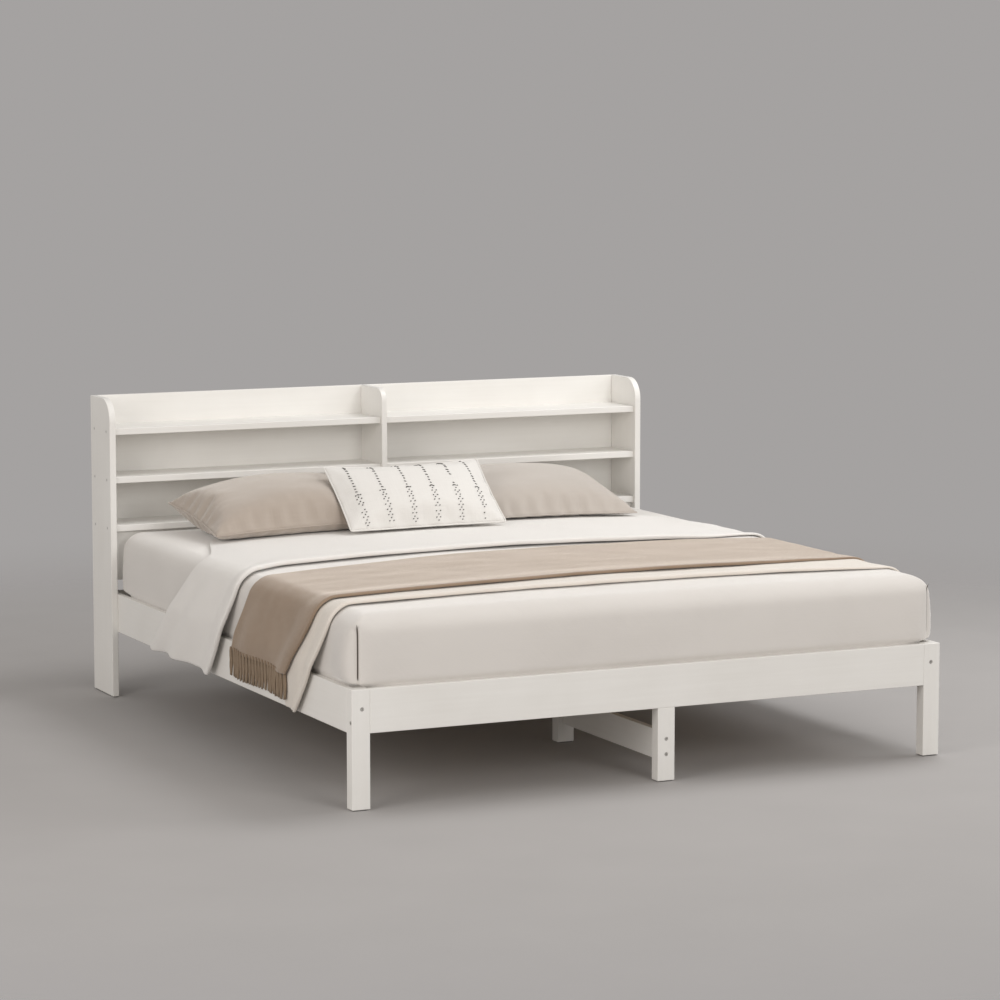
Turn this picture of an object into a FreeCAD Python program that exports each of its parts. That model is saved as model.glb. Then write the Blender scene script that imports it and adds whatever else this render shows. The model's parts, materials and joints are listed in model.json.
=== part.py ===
"""A king-size platform bed with a bookcase headboard, made up with a mattress and bedding.

X runs across the bed, +Y from the foot to the head and +Z up. The origin is on the floor, in
the middle of the footprint. All lengths are in millimetres.
"""

import FreeCAD
import Part

import os
import re

import Sketcher

# Driving dimensions, one row of the sheet each

SIZES = {
    # The mattress, which the whole frame is built round
    "mattress_width": 1930,
    "mattress_length": 2030,
    "mattress_thickness": 240,
    "mattress_gap": 5,
    "mattress_recess": 25,
    "mattress_corner_room": 12,
    "mattress_edge": 45,
    "mattress_wall": 20,
    # The rails and the legs, which are all cut from one leg stock
    "rail_top": 355,
    "rail_height": 130,
    "rail_thickness": 20,
    "rail_lap": 80,
    "leg_width": 57,
    "leg_depth": 40,
    "eased_edge": 2,
    "felt_thickness": 3,
    "felt_margin": 5,
    "cut_overrun": 5,
    # The ledgers and the slats
    "ledger_thickness": 24,
    "ledger_height": 30,
    "slat_thickness": 18,
    "slat_width": 70,
    "slat_end_gap": 3,
    "slat_row_gap": 12,
    # The centre support, whose row of legs stands a little right of the middle
    "support_offset": 30,
    "beam_thickness": 30,
    "leg_pitch": 680,
    "stretcher_thickness": 22,
    "stretcher_height": 90,
    "stretcher_clear": 62,
    # The headboard
    "headboard_depth": 200,
    "headboard_height": 1020,
    "panel_thickness": 22,
    "panel_corner": 75,
    "divider_thickness": 20,
    "divider_corner": 45,
    "back_thickness": 12,
    "back_lap": 20,
    "shelf_thickness": 22,
    "shelf_setback": 12,
    "shelf_rise": 20,
    "tray_depth": 100,
    "fascia_thickness": 18,
    "fascia_setback": 20,
    "fascia_height": 168,
    # Bolts, barrel nuts and insert nuts
    "bolt_diameter": 6,
    "bolt_clearance": 0.25,
    "bolt_head_diameter": 12,
    "bolt_head_height": 3.5,
    "bolt_socket": 4,
    "bolt_socket_depth": 2.2,
    "bolt_recess": 1,
    "bolt_tip": 8,
    "nut_diameter": 10,
    "nut_length": 14,
    "nut_inset": 32,
    "thread_clearance": 0.1,
    "insert_diameter": 12,
    "insert_length": 13,
    # Screws, each with its shank, length, head and head height
    "screw_clearance": 0.2,
    "slat_screw_shank": 4,
    "slat_screw_length": 30,
    "slat_screw_head": 8,
    "slat_screw_sink": 3,
    "slat_screw_inset": 16,
    "ledger_screw_shank": 4,
    "ledger_screw_length": 36,
    "ledger_screw_head": 8,
    "ledger_screw_sink": 3,
    "shelf_screw_shank": 5,
    "shelf_screw_length": 50,
    "shelf_screw_head": 9,
    "shelf_screw_sink": 3,
    "shelf_screw_edge": 25,
    "back_screw_shank": 3.5,
    "back_screw_length": 35,
    "back_screw_head": 7,
    "back_screw_sink": 2.5,
    # Dowels
    "dowel_diameter": 8,
    "dowel_clearance": 0.1,
    "dowel_depth": 14,
    # The bedding: the blanket and the throw are placed from the foot, and the sheet lies between
    # them and the pillows
    "cloth_gap": 0.5,
    "sheet_thickness": 4,
    "sheet_gap": 280,
    "sheet_pillow_gap": 94,
    "sheet_hem": 230,
    "sheet_fold": 11,
    "sheet_start_slant": 230,
    "sheet_end_slant": 110,
    "blanket_thickness": 4,
    "blanket_start": 170,
    "blanket_width": 480,
    "blanket_hem": 228,
    "blanket_fold": 4,
    "blanket_start_slant": 205,
    "blanket_end_slant": -150,
    "throw_thickness": 4,
    "throw_start": 300,
    "throw_width": 560,
    "throw_hem": 330,
    "throw_fold": 5,
    "throw_start_slant": 165,
    "throw_end_slant": 100,
    "tassel_length": 80,
    "tassel_width": 10,
    # The pillows and the cushion
    "pillow_length": 640,
    "pillow_depth": 470,
    "pillow_thickness": 165,
    "pillow_wall": 12,
    "pillow_left_inner_gap": 160,
    "pillow_right_inner_gap": 90,
    "pillow_seat": 0.3,
    "pillow_head_gap": 6,
    "cushion_length": 560,
    "cushion_depth": 310,
    "cushion_thickness": 95,
    "cushion_lead": 82,
    "cushion_offset": 90,
}

SLAT_COUNT = 13
HEX_SIDES = 6
SLATS_PER_LEDGER_SCREW = 3
TASSELS = 27
SHEET_FOLDS = 3
BLANKET_FOLDS = 2
THROW_FOLDS = 2
QUARTER_TURN_DEGREES = 90
PILLOW_TILT_DEGREES = 5
PILLOW_YAW_DEGREES = 4
CUSHION_TILT_DEGREES = 38
SIDES = {"left": -1, "right": 1}

FOOT_BOLT_SHARE = 0.25
FOOT_DOWEL_SHARE = 0.7
RAIL_BOLT_SHARES = (0.22, 0.78)
STRETCHER_BOLT_SHARES = (0.24, 0.76)
DOWEL_ROW_SHARES = (0.2, 0.8)
BACK_SCREW_SHARES = (0.12, 0.5, 0.88)
# Rings of the mattress from its base up: share of its thickness, inset in shares of its edge
# radius. The last inset is where its flat top ends
MATTRESS_TOP_SHARE = 0.8
MATTRESS_RING_SHARES = [
    (0, 0.25),
    (0.12, 0),
    (0.5, -0.06),
    (0.8, -0.02),
    (0.93, 0.22),
    (1, MATTRESS_TOP_SHARE),
]
# Sections of a pillow from its inner end and of a cushion from its left end: the place along its
# length, its depth there and its fullness there
PILLOW_SECTION_SHARES = [
    (-0.5, 1, 0.1),
    (-0.38, 0.985, 0.24),
    (-0.18, 0.955, 0.6),
    (0.05, 0.94, 0.97),
    (0.25, 0.95, 0.92),
    (0.42, 0.985, 0.52),
    (0.5, 1, 0.12),
]
CUSHION_SECTION_SHARES = [
    (-0.5, 1, 0.14),
    (-0.4, 0.985, 0.55),
    (-0.2, 0.95, 0.9),
    (0, 0.94, 1),
    (0.2, 0.95, 0.9),
    (0.4, 0.985, 0.55),
    (0.5, 1, 0.14),
]
PILLOW_CROWN_SHARE = 0.8
CUSHION_CROWN_SHARE = 0.6

doc = FreeCAD.newDocument("platform_bed")
sheet = doc.addObject("Spreadsheet::Sheet", "sizes")
for row, (name, size) in enumerate(SIZES.items(), 1):
    sheet.set(f"A{row}", name)
    sheet.set(f"B{row}", str(size))
    sheet.setAlias(f"B{row}", name)
doc.recompute()

# Places that several pieces share, as sums of the sheet's cells

RAIL_SPAN = "(mattress_width + 2 * mattress_gap + 2 * rail_thickness)"
FRAME_LENGTH = "(mattress_length + 2 * mattress_gap + rail_thickness)"
FOOT = f"(-({FRAME_LENGTH} + headboard_depth) / 2)"
HEAD_FRONT = f"(({FRAME_LENGTH} - headboard_depth) / 2)"
HEAD_REAR = f"(({FRAME_LENGTH} + headboard_depth) / 2)"
POST_REAR = f"({FOOT} + leg_depth)"
BACK_FRONT = f"({HEAD_REAR} - back_thickness)"
SHELF_FRONT = f"({HEAD_FRONT} + shelf_setback)"
SHELF_DEPTH = f"({BACK_FRONT} - {SHELF_FRONT})"
FASCIA_FRONT = f"({SHELF_FRONT} + fascia_setback)"
RAIL_END = f"({HEAD_FRONT} + rail_lap)"
HEAD_RAIL_REAR = f"({RAIL_END} + rail_thickness)"
HALF_SPAN = f"({RAIL_SPAN} / 2)"
RAIL_INSIDE = f"({HALF_SPAN} - rail_thickness)"
LEDGER_INSIDE = f"({RAIL_INSIDE} - ledger_thickness)"
LEDGER_MIDDLE = f"({RAIL_INSIDE} - ledger_thickness / 2)"
RAIL_BOTTOM = "(rail_top - rail_height)"
SLAT_TOP = "(rail_top - mattress_recess)"
LEDGER_TOP = f"({SLAT_TOP} - slat_thickness)"
LEDGER_AXIS = f"({LEDGER_TOP} - ledger_height / 2)"
SLAT_ROW = f"({POST_REAR} + slat_row_gap)"
SLAT_RUN = f"({FRAME_LENGTH} - leg_depth - 2 * slat_row_gap - slat_width)"
SLAT_PITCH = f"({SLAT_RUN} / {SLAT_COUNT - 1})"
MATTRESS_TOP = f"({SLAT_TOP} + mattress_thickness)"
MATTRESS_FOOT = f"({FOOT} + rail_thickness + mattress_gap)"
# The lower shelf stands just above the mattress, the top one makes a tray under the headboard's
# top, and the middle one is half way between them
LOWER_SHELF_TOP = f"({MATTRESS_TOP} + shelf_rise)"
TOP_SHELF_TOP = "(headboard_height - tray_depth)"
SHELF_TOPS = {
    "lower": LOWER_SHELF_TOP,
    "middle": f"(({LOWER_SHELF_TOP} + {TOP_SHELF_TOP}) / 2)",
    "top": TOP_SHELF_TOP,
}
LOWER_SHELF_BASE = f"({LOWER_SHELF_TOP} - shelf_thickness)"
FASCIA_BASE = f"({LOWER_SHELF_BASE} - fascia_height)"
BACK_BASE = f"({FASCIA_BASE} - back_lap)"
# The front face of each centre leg: one under the foot rail, one under the head rail, and a
# partner for each at the far end of its stretcher
CENTRE_LEGS = {
    "foot": FOOT,
    "foot_inner": f"({FOOT} + leg_pitch)",
    "head_inner": f"({HEAD_RAIL_REAR} - leg_depth - leg_pitch)",
    "head": f"({HEAD_RAIL_REAR} - leg_depth)",
}
BOLT_HOLE = "(bolt_diameter + 2 * bolt_clearance)"
BOLT_SINK = "(bolt_recess + bolt_head_height)"

SIZE_NAME = re.compile(r"[a-z_]+")
AXES = {
    "x": FreeCAD.Vector(1, 0, 0),
    "y": FreeCAD.Vector(0, 1, 0),
    "z": FreeCAD.Vector(0, 0, 1),
}

boards = {}
bores = {}
fasteners = {}
nodes = {}


def measure(expression):
    """The length that an expression of the sheet's sizes comes to."""
    return float(sheet.evalExpression(expression))


def bind(thing, prop, expression):
    """Ties a property to the sheet, with each size in the expression read from its cell."""
    thing.setExpression(prop, SIZE_NAME.sub(lambda word: "sizes." + word.group(), expression))


def place(thing, corner):
    for axis, expression in zip(AXES, corner):
        bind(thing, "Placement.Base." + axis, expression)


def signed(side, expression):
    return expression if SIDES[side] > 0 else f"-({expression})"


def low_end(side, near, thickness):
    """The low X of a piece whose nearer face stands `near` from the middle, on either side."""
    return near if SIDES[side] > 0 else f"-({near}) - {thickness}"


# Boards


def rectangle(body, name, wide, deep):
    """A sketched rectangle in the body's XY plane, with a corner at the body's origin."""
    sketch = body.newObject("Sketcher::SketchObject", name)
    plane = next(f for f in body.Origin.OriginFeatures if f.Role == "XY_Plane")
    sketch.AttachmentSupport = [(plane, "")]
    sketch.MapMode = "FlatFace"
    width, depth = measure(wide), measure(deep)
    corners = [
        FreeCAD.Vector(0, 0, 0),
        FreeCAD.Vector(width, 0, 0),
        FreeCAD.Vector(width, depth, 0),
        FreeCAD.Vector(0, depth, 0),
    ]
    for start, end in zip(corners, corners[1:] + corners[:1]):
        sketch.addGeometry(Part.LineSegment(start, end))
    for line in range(len(corners)):
        sketch.addConstraint(Sketcher.Constraint("Coincident", line, 2, (line + 1) % len(corners), 1))
        sketch.addConstraint(Sketcher.Constraint("Vertical" if line % 2 else "Horizontal", line))
    sketch.addConstraint(Sketcher.Constraint("Coincident", 0, 1, -1, 1))
    for line, label, length in ((0, "wide", wide), (1, "deep", deep)):
        index = sketch.addConstraint(Sketcher.Constraint("Distance", line, measure(length)))
        sketch.renameConstraint(index, label)
        bind(sketch, "Constraints." + label, length)
    return sketch


def board(label, size, corner, front_top_radius=None):
    """An eased board, given by its size and low corner. Its front top edge may be rounded."""
    body = doc.addObject("PartDesign::Body", label + "_board")
    block = body.newObject("PartDesign::Pad", label + "_pad")
    block.Profile = rectangle(body, label + "_outline", size[0], size[1])
    bind(block, "Length", size[2])
    if front_top_radius:
        doc.recompute()
        edge = front_top_edge(block.Shape)
        rounded = body.newObject("PartDesign::Fillet", label + "_corner")
        rounded.Base = (block, [edge])
        bind(rounded, "Radius", front_top_radius)
        block = rounded
    eased = body.newObject("PartDesign::Fillet", label + "_eased")
    eased.Base = (block, ["Edge1"])
    eased.UseAllEdges = True
    bind(eased, "Radius", "eased_edge")
    place(body, corner)
    boards[label] = body
    bores[label] = []


def front_top_edge(block):
    """The name of a block's upper edge on the side towards the foot."""
    scores = [edge.CenterOfMass.z - edge.CenterOfMass.y for edge in block.Edges]
    return f"Edge{scores.index(max(scores)) + 1}"


# The rails and posts

for side in SIDES:
    board(
        f"foot_post_{side}",
        ("leg_width", "leg_depth", "rail_top - felt_thickness"),
        (low_end(side, f"{HALF_SPAN} - leg_width", "leg_width"), FOOT, "felt_thickness"),
    )
    board(
        f"side_rail_{side}",
        ("rail_thickness", f"{RAIL_END} - {POST_REAR}", "rail_height"),
        (low_end(side, RAIL_INSIDE, "rail_thickness"), POST_REAR, RAIL_BOTTOM),
    )
    board(
        f"side_ledger_{side}",
        ("ledger_thickness", f"{FRAME_LENGTH} - leg_depth", "ledger_height"),
        (
            low_end(side, LEDGER_INSIDE, "ledger_thickness"),
            POST_REAR,
            f"{LEDGER_TOP} - ledger_height",
        ),
    )
board(
    "foot_rail",
    (f"{RAIL_SPAN} - 2 * leg_width", "rail_thickness", "rail_height"),
    (f"leg_width - {HALF_SPAN}", FOOT, RAIL_BOTTOM),
)
board(
    "head_rail",
    (RAIL_SPAN, "rail_thickness", "rail_height"),
    (f"-{HALF_SPAN}", RAIL_END, RAIL_BOTTOM),
)

# The centre support: a beam on four legs, which a low stretcher ties in pairs

for name, front in CENTRE_LEGS.items():
    board(
        f"centre_leg_{name}",
        ("leg_width", "leg_depth", f"{RAIL_BOTTOM} - felt_thickness"),
        ("support_offset - leg_width / 2", front, "felt_thickness"),
    )
board(
    "centre_beam",
    ("beam_thickness", f"{RAIL_END} - {FOOT} - rail_thickness", f"{LEDGER_TOP} - {RAIL_BOTTOM}"),
    ("support_offset - beam_thickness / 2", f"{FOOT} + rail_thickness", RAIL_BOTTOM),
)
for end, first in (("foot", "foot"), ("head", "head_inner")):
    board(
        f"centre_stretcher_{end}",
        ("stretcher_thickness", "leg_pitch - leg_depth", "stretcher_height"),
        (
            "support_offset - stretcher_thickness / 2",
            f"{CENTRE_LEGS[first]} + leg_depth",
            "stretcher_clear",
        ),
    )

# The slats

SLATS = {
    f"slat_{number + 1:02d}": f"({SLAT_ROW} + {number} * {SLAT_PITCH})" for number in range(SLAT_COUNT)
}
for label, front in SLATS.items():
    board(
        label,
        (f"2 * ({RAIL_INSIDE} - slat_end_gap)", "slat_width", "slat_thickness"),
        (f"slat_end_gap - {RAIL_INSIDE}", front, LEDGER_TOP),
    )

# The headboard

for side in SIDES:
    board(
        f"headboard_side_{side}",
        ("panel_thickness", "headboard_depth", "headboard_height - felt_thickness"),
        (low_end(side, HALF_SPAN, "panel_thickness"), HEAD_FRONT, "felt_thickness"),
        "panel_corner",
    )
    board(
        f"headboard_back_{side}",
        (HALF_SPAN, "back_thickness", f"headboard_height - {BACK_BASE}"),
        (low_end(side, "0", HALF_SPAN), BACK_FRONT, BACK_BASE),
    )
    for level in ("middle", "top"):
        board(
            f"shelf_{level}_{side}",
            (f"{HALF_SPAN} - divider_thickness / 2", SHELF_DEPTH, "shelf_thickness"),
            (
                low_end(side, "divider_thickness / 2", f"({HALF_SPAN} - divider_thickness / 2)"),
                SHELF_FRONT,
                f"{SHELF_TOPS[level]} - shelf_thickness",
            ),
        )
board(
    "shelf_lower",
    (RAIL_SPAN, SHELF_DEPTH, "shelf_thickness"),
    (f"-{HALF_SPAN}", SHELF_FRONT, LOWER_SHELF_BASE),
)
board(
    "headboard_divider",
    ("divider_thickness", f"{BACK_FRONT} - {HEAD_FRONT}", f"headboard_height - {LOWER_SHELF_TOP}"),
    ("-divider_thickness / 2", HEAD_FRONT, LOWER_SHELF_TOP),
    "divider_corner",
)
board(
    "headboard_fascia",
    (RAIL_SPAN, "fascia_thickness", "fascia_height"),
    (f"-{HALF_SPAN}", FASCIA_FRONT, FASCIA_BASE),
)

# Fasteners, each with the bores that it needs in the boards that it passes through


def bore(axis, low, high, across, diameter, through):
    """A round hole along an axis; `across` gives its other two coordinates in X, Y, Z order."""
    hole = doc.addObject("Part::Cylinder", "bore")
    hole.Placement = FreeCAD.Placement(FreeCAD.Vector(), FreeCAD.Rotation(AXES["z"], AXES[axis]))
    bind(hole, "Radius", f"({diameter}) / 2")
    bind(hole, "Height", f"({high}) - ({low})")
    place(hole, beside(axis, low, across))
    for label in through:
        bores[label].append(hole)


def beside(axis, along, across):
    """Three coordinates from the one along an axis and the two across it."""
    point = list(across)
    point.insert("xyz".index(axis), along)
    return point


def sunk_bore(axis, way, face, depth, across, diameter, through):
    """A hole that goes in from a face, the way given, to a depth."""
    ends = [f"{face} - {way} * cut_overrun", f"{face} + {way} * ({depth})"]
    bore(axis, ends[way < 0], ends[way > 0], across, diameter, through)


def add_fastener(group, shape, axis, way, along, across):
    """Turns a fastener made along +Z to point along an axis, and sets its head at a place."""
    spot = FreeCAD.Vector(*[measure(part) for part in beside(axis, along, across)])
    turn = FreeCAD.Rotation(AXES["z"], AXES[axis] * way)
    shape.Placement = FreeCAD.Placement(spot, turn)
    fasteners.setdefault(group, []).append(shape)


def headed_pin(shank, length, head, head_height):
    """A round head with a shank behind it, along +Z, from the head's outer face."""
    cap = Part.makeCylinder(head / 2, head_height)
    return cap.fuse(Part.makeCylinder(shank / 2, length)).removeSplitter()


def drive_screw(kind, axis, way, face, across, through):
    """A screw sunk flush into a face, the way given along an axis."""
    sizes = [f"{kind}_screw_{part}" for part in ("shank", "length", "head", "sink")]
    shank, length, head, sink = sizes
    bore_room = "2 * screw_clearance"
    sunk_bore(axis, way, face, f"{length} + screw_clearance", across, f"{shank} + {bore_room}", through)
    sunk_bore(axis, way, face, f"{sink} + screw_clearance", across, f"{head} + {bore_room}", through[:1])
    shape = headed_pin(*[measure(size) for size in sizes])
    add_fastener(f"{kind}_screws", shape, axis, way, face, across)


def socket_bolt(length):
    """A bolt with a hex socket, along +Z, from the head's outer face."""
    sizes = ("bolt_diameter", length, "bolt_head_diameter", "bolt_head_height")
    radius = measure("bolt_socket") / 3**0.5
    corners = [FreeCAD.Vector(radius, 0, 0)]
    turn = FreeCAD.Rotation(AXES["z"], 360 / HEX_SIDES)
    for _ in range(HEX_SIDES):
        corners.append(turn * corners[-1])
    socket = Part.Face(Part.makePolygon(corners)).extrude(AXES["z"] * measure("bolt_socket_depth"))
    return headed_pin(*[measure(size) for size in sizes]).cut(socket)


def drive_bolt(group, axis, way, face, across, joined, nut_axis, nut_face, nut_way):
    """A bolt through one board into the end of another, where a barrel nut takes it.

    `joined` names the two boards and gives the first one's thickness. The nut lies across the
    bolt, in a hole that opens on `nut_face`.
    """
    first, second, thickness = joined
    nut_depth = f"({thickness} + nut_inset)"
    length = f"({nut_depth} + nut_diameter / 2 + bolt_tip - bolt_recess)"
    head_hole = "bolt_head_diameter + 2 * bolt_clearance"
    bolt_depth = f"bolt_recess + {length} + bolt_clearance"
    sunk_bore(axis, way, face, bolt_depth, across, BOLT_HOLE, (first, second))
    sunk_bore(axis, way, face, BOLT_SINK, across, head_hole, (first,))
    add_fastener(group + "_bolts", socket_bolt(length), axis, way, f"{face} + {way} * bolt_recess", across)
    middle = beside(axis, f"{face} + {way} * {nut_depth}", across)
    along = middle.pop("xyz".index(nut_axis))
    nut_hole = "nut_diameter + 2 * thread_clearance"
    depth = f"{nut_way} * (({along}) - ({nut_face})) + nut_length / 2 + thread_clearance"
    sunk_bore(nut_axis, nut_way, nut_face, depth, middle, nut_hole, (second,))
    add_fastener(group + "_nuts", barrel_nut(axis, nut_axis), nut_axis, 1, along, middle)


def barrel_nut(bolt_axis, nut_axis):
    """A cross dowel along +Z, centred, with its threaded hole where the bolt passes."""
    length = measure("nut_length")
    nut = Part.makeCylinder(measure("nut_diameter") / 2, length, AXES["z"] * (-length / 2))
    lie = FreeCAD.Rotation(AXES["z"], AXES[nut_axis]).inverted()
    way = lie * AXES[bolt_axis]
    thread = measure("bolt_diameter / 2 + thread_clearance")
    return nut.cut(Part.makeCylinder(thread, 2 * length, way * -length, way))


def insert_nut():
    """A sleeve along +Z, threaded for a bolt, from the face that it is let into."""
    length = measure("insert_length")
    thread = measure("bolt_diameter / 2 + thread_clearance")
    return Part.makeCylinder(measure("insert_diameter / 2"), length).cut(Part.makeCylinder(thread, length))


def drive_dowel(axis, joint, across, through, behind="dowel_depth", ahead="dowel_depth"):
    """A dowel across a joint, reaching `behind` and `ahead` of it along an axis."""
    low, high = f"{joint} - {behind}", f"{joint} + {ahead}"
    hole = "dowel_diameter + 2 * dowel_clearance"
    bore(axis, f"{low} - dowel_clearance", f"{high} + dowel_clearance", across, hole, through)
    pin = Part.makeCylinder(measure("dowel_diameter / 2"), measure(f"({high}) - ({low})"))
    add_fastener("wood_dowels", pin, axis, 1, low, across)


# The corners at the foot: a bolt through each post into the ledger, another into the foot rail,
# and a dowel beside each

FOOT_RAIL_MIDDLE = f"({FOOT} + rail_thickness / 2)"
FOOT_BOLT_HEIGHT = f"({RAIL_BOTTOM} + {FOOT_BOLT_SHARE} * rail_height)"
FOOT_DOWEL_HEIGHT = f"({RAIL_BOTTOM} + {FOOT_DOWEL_SHARE} * rail_height)"
for side, way in SIDES.items():
    post = f"foot_post_{side}"
    drive_bolt(
        "foot_corner",
        "y",
        1,
        FOOT,
        (signed(side, LEDGER_MIDDLE), LEDGER_AXIS),
        (post, f"side_ledger_{side}", "leg_depth"),
        "x",
        signed(side, LEDGER_INSIDE),
        way,
    )
    drive_bolt(
        "foot_corner",
        "x",
        -way,
        signed(side, HALF_SPAN),
        (FOOT_RAIL_MIDDLE, FOOT_BOLT_HEIGHT),
        (post, "foot_rail", "leg_width"),
        "y",
        f"({FOOT} + rail_thickness)",
        -1,
    )
    rail_middle = signed(side, f"({HALF_SPAN} - rail_thickness / 2)")
    drive_dowel("y", POST_REAR, (rail_middle, FOOT_BOLT_HEIGHT), (post, f"side_rail_{side}"))
    post_inside = signed(side, f"({HALF_SPAN} - leg_width)")
    drive_dowel("x", post_inside, (FOOT_RAIL_MIDDLE, FOOT_DOWEL_HEIGHT), (post, "foot_rail"))

# The corners at the head: two bolts through each side rail into insert nuts in the headboard's
# side, and dowels at the ends of the head rail and the fascia

for side, way in SIDES.items():
    rail, panel = f"side_rail_{side}", f"headboard_side_{side}"
    panel_inside = signed(side, HALF_SPAN)
    for share in RAIL_BOLT_SHARES:
        across = (f"{HEAD_FRONT} + rail_lap / 2", f"{RAIL_BOTTOM} + {share} * rail_height")
        rail_face = signed(side, RAIL_INSIDE)
        bolt = socket_bolt("bolt_head_height + rail_thickness + insert_length")
        sunk_bore("x", way, rail_face, "rail_thickness + cut_overrun", across, BOLT_HOLE, (rail,))
        insert_hole = "insert_diameter + 2 * thread_clearance"
        sunk_bore("x", way, panel_inside, "insert_length + thread_clearance", across, insert_hole, (panel,))
        head_seat = f"{rail_face} - {way} * bolt_head_height"
        add_fastener("head_bolts", bolt, "x", way, head_seat, across)
        add_fastener("head_inserts", insert_nut(), "x", way, panel_inside, across)
    for cross_board, middle, base, height in (
        ("head_rail", f"{RAIL_END} + rail_thickness / 2", RAIL_BOTTOM, "rail_height"),
        ("headboard_fascia", f"{FASCIA_FRONT} + fascia_thickness / 2", FASCIA_BASE, "fascia_height"),
    ):
        for share in DOWEL_ROW_SHARES:
            across = (middle, f"{base} + {share} * {height}")
            drive_dowel("x", panel_inside, across, (cross_board, panel))

# The centre support: bolts through the legs into the stretchers, dowels up into the beam and rails

for end, first, last in (("foot", "foot", "foot_inner"), ("head", "head_inner", "head")):
    stretcher = f"centre_stretcher_{end}"
    for share in STRETCHER_BOLT_SHARES:
        across = ("support_offset", f"stretcher_clear + {share} * stretcher_height")
        for leg, way, face in (
            (first, 1, CENTRE_LEGS[first]),
            (last, -1, f"({CENTRE_LEGS[last]} + leg_depth)"),
        ):
            drive_bolt(
                "centre_leg",
                "y",
                way,
                face,
                across,
                (f"centre_leg_{leg}", stretcher, "leg_depth"),
                "x",
                "(support_offset + stretcher_thickness / 2)",
                -1,
            )
BEAM_DOWEL_PLACES = {
    "foot": f"{FOOT} + (rail_thickness + leg_depth) / 2",
    "foot_inner": f"{CENTRE_LEGS['foot_inner']} + leg_depth / 2",
    "head_inner": f"{CENTRE_LEGS['head_inner']} + leg_depth / 2",
    "head": f"{CENTRE_LEGS['head']} + (leg_depth - rail_thickness) / 2",
}
for leg, along in BEAM_DOWEL_PLACES.items():
    drive_dowel("z", RAIL_BOTTOM, ("support_offset", along), (f"centre_leg_{leg}", "centre_beam"))
for leg, rail, along in (
    ("foot", "foot_rail", FOOT_RAIL_MIDDLE),
    ("head", "head_rail", f"{RAIL_END} + rail_thickness / 2"),
):
    drive_dowel("z", RAIL_BOTTOM, ("support_offset", along), (f"centre_leg_{leg}", rail))

# Slats screwed to the ledgers, and ledgers screwed to the side rails between slats

for side, way in SIDES.items():
    ledger, rail = f"side_ledger_{side}", f"side_rail_{side}"
    screw_line = signed(side, f"({RAIL_INSIDE} - slat_end_gap - slat_screw_inset)")
    for label, front in SLATS.items():
        drive_screw("slat", "z", -1, SLAT_TOP, (screw_line, f"{front} + slat_width / 2"), (label, ledger))
    for gap in range(1, SLAT_COUNT - 1, SLATS_PER_LEDGER_SCREW):
        along = f"{SLAT_ROW} + slat_width / 2 + ({gap} + 1 / 2) * {SLAT_PITCH}"
        drive_screw("ledger", "x", way, signed(side, LEDGER_INSIDE), (along, LEDGER_AXIS), (ledger, rail))

# Shelves screwed through the headboard's sides and doweled to the divider, and the back screwed on

SHELF_SCREW_LINES = (f"{SHELF_FRONT} + shelf_screw_edge", f"{BACK_FRONT} - shelf_screw_edge")
for level, shelf_top in SHELF_TOPS.items():
    shelf_middle = f"{shelf_top} - shelf_thickness / 2"
    for side, way in SIDES.items():
        shelf = "shelf_lower" if level == "lower" else f"shelf_{level}_{side}"
        panel = f"headboard_side_{side}"
        panel_face = signed(side, f"({HALF_SPAN} + panel_thickness)")
        for line in SHELF_SCREW_LINES:
            drive_screw("shelf", "x", -way, panel_face, (line, shelf_middle), (panel, shelf))
        for share in BACK_SCREW_SHARES:
            across = (signed(side, f"({share} * {HALF_SPAN})"), shelf_middle)
            drive_screw("back", "y", -1, HEAD_REAR, across, (f"headboard_back_{side}", shelf))
for share in DOWEL_ROW_SHARES:
    line = f"{SHELF_FRONT} + {share} * {SHELF_DEPTH}"
    for level in ("middle", "top"):
        shelf_middle = f"{SHELF_TOPS[level]} - shelf_thickness / 2"
        through = (f"shelf_{level}_left", "headboard_divider", f"shelf_{level}_right")
        reach = "(divider_thickness / 2 + dowel_depth)"
        drive_dowel("x", "0", (line, shelf_middle), through, reach, reach)
    drive_dowel("z", LOWER_SHELF_TOP, ("0", line), ("shelf_lower", "headboard_divider"))

for label, body in boards.items():
    if not bores[label]:
        nodes[label] = body
        continue
    holes = doc.addObject("Part::MultiFuse", label + "_bores")
    holes.Shapes = bores[label]
    drilled = doc.addObject("Part::Cut", label + "_drilled")
    drilled.Base = body
    drilled.Tool = holes
    nodes[label] = drilled


def feature(label, shape, position=FreeCAD.Placement()):
    """A sub-part whose shape is worked out here from the sheet's sizes."""
    piece = doc.addObject("Part::Feature", label)
    piece.Shape = shape
    piece.Placement = position
    nodes[label] = piece


for group, shapes in fasteners.items():
    feature(group, Part.makeCompound(shapes))

# Felt pads under the posts, the centre legs and the headboard's sides

felt_pads = []
PANEL_MIDDLE = f"({HALF_SPAN} + panel_thickness / 2)"
POST_MIDDLE = f"({HALF_SPAN} - leg_width / 2)"
pad_spots = [("support_offset", front, "leg_width", "leg_depth") for front in CENTRE_LEGS.values()]
for side in SIDES:
    pad_spots.append((signed(side, POST_MIDDLE), FOOT, "leg_width", "leg_depth"))
    pad_spots.append((signed(side, PANEL_MIDDLE), HEAD_FRONT, "panel_thickness", "headboard_depth"))
for middle, front, width, depth in pad_spots:
    pad = doc.addObject("Part::Box", "felt_pad")
    bind(pad, "Length", f"{width} - 2 * felt_margin")
    bind(pad, "Width", f"{depth} - 2 * felt_margin")
    bind(pad, "Height", "felt_thickness")
    place(pad, (f"{middle} - {width} / 2 + felt_margin", f"{front} + felt_margin", "0"))
    felt_pads.append(pad)
felt = doc.addObject("Part::Compound", "felt_pads")
felt.Links = felt_pads
nodes["felt_pads"] = felt

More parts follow.
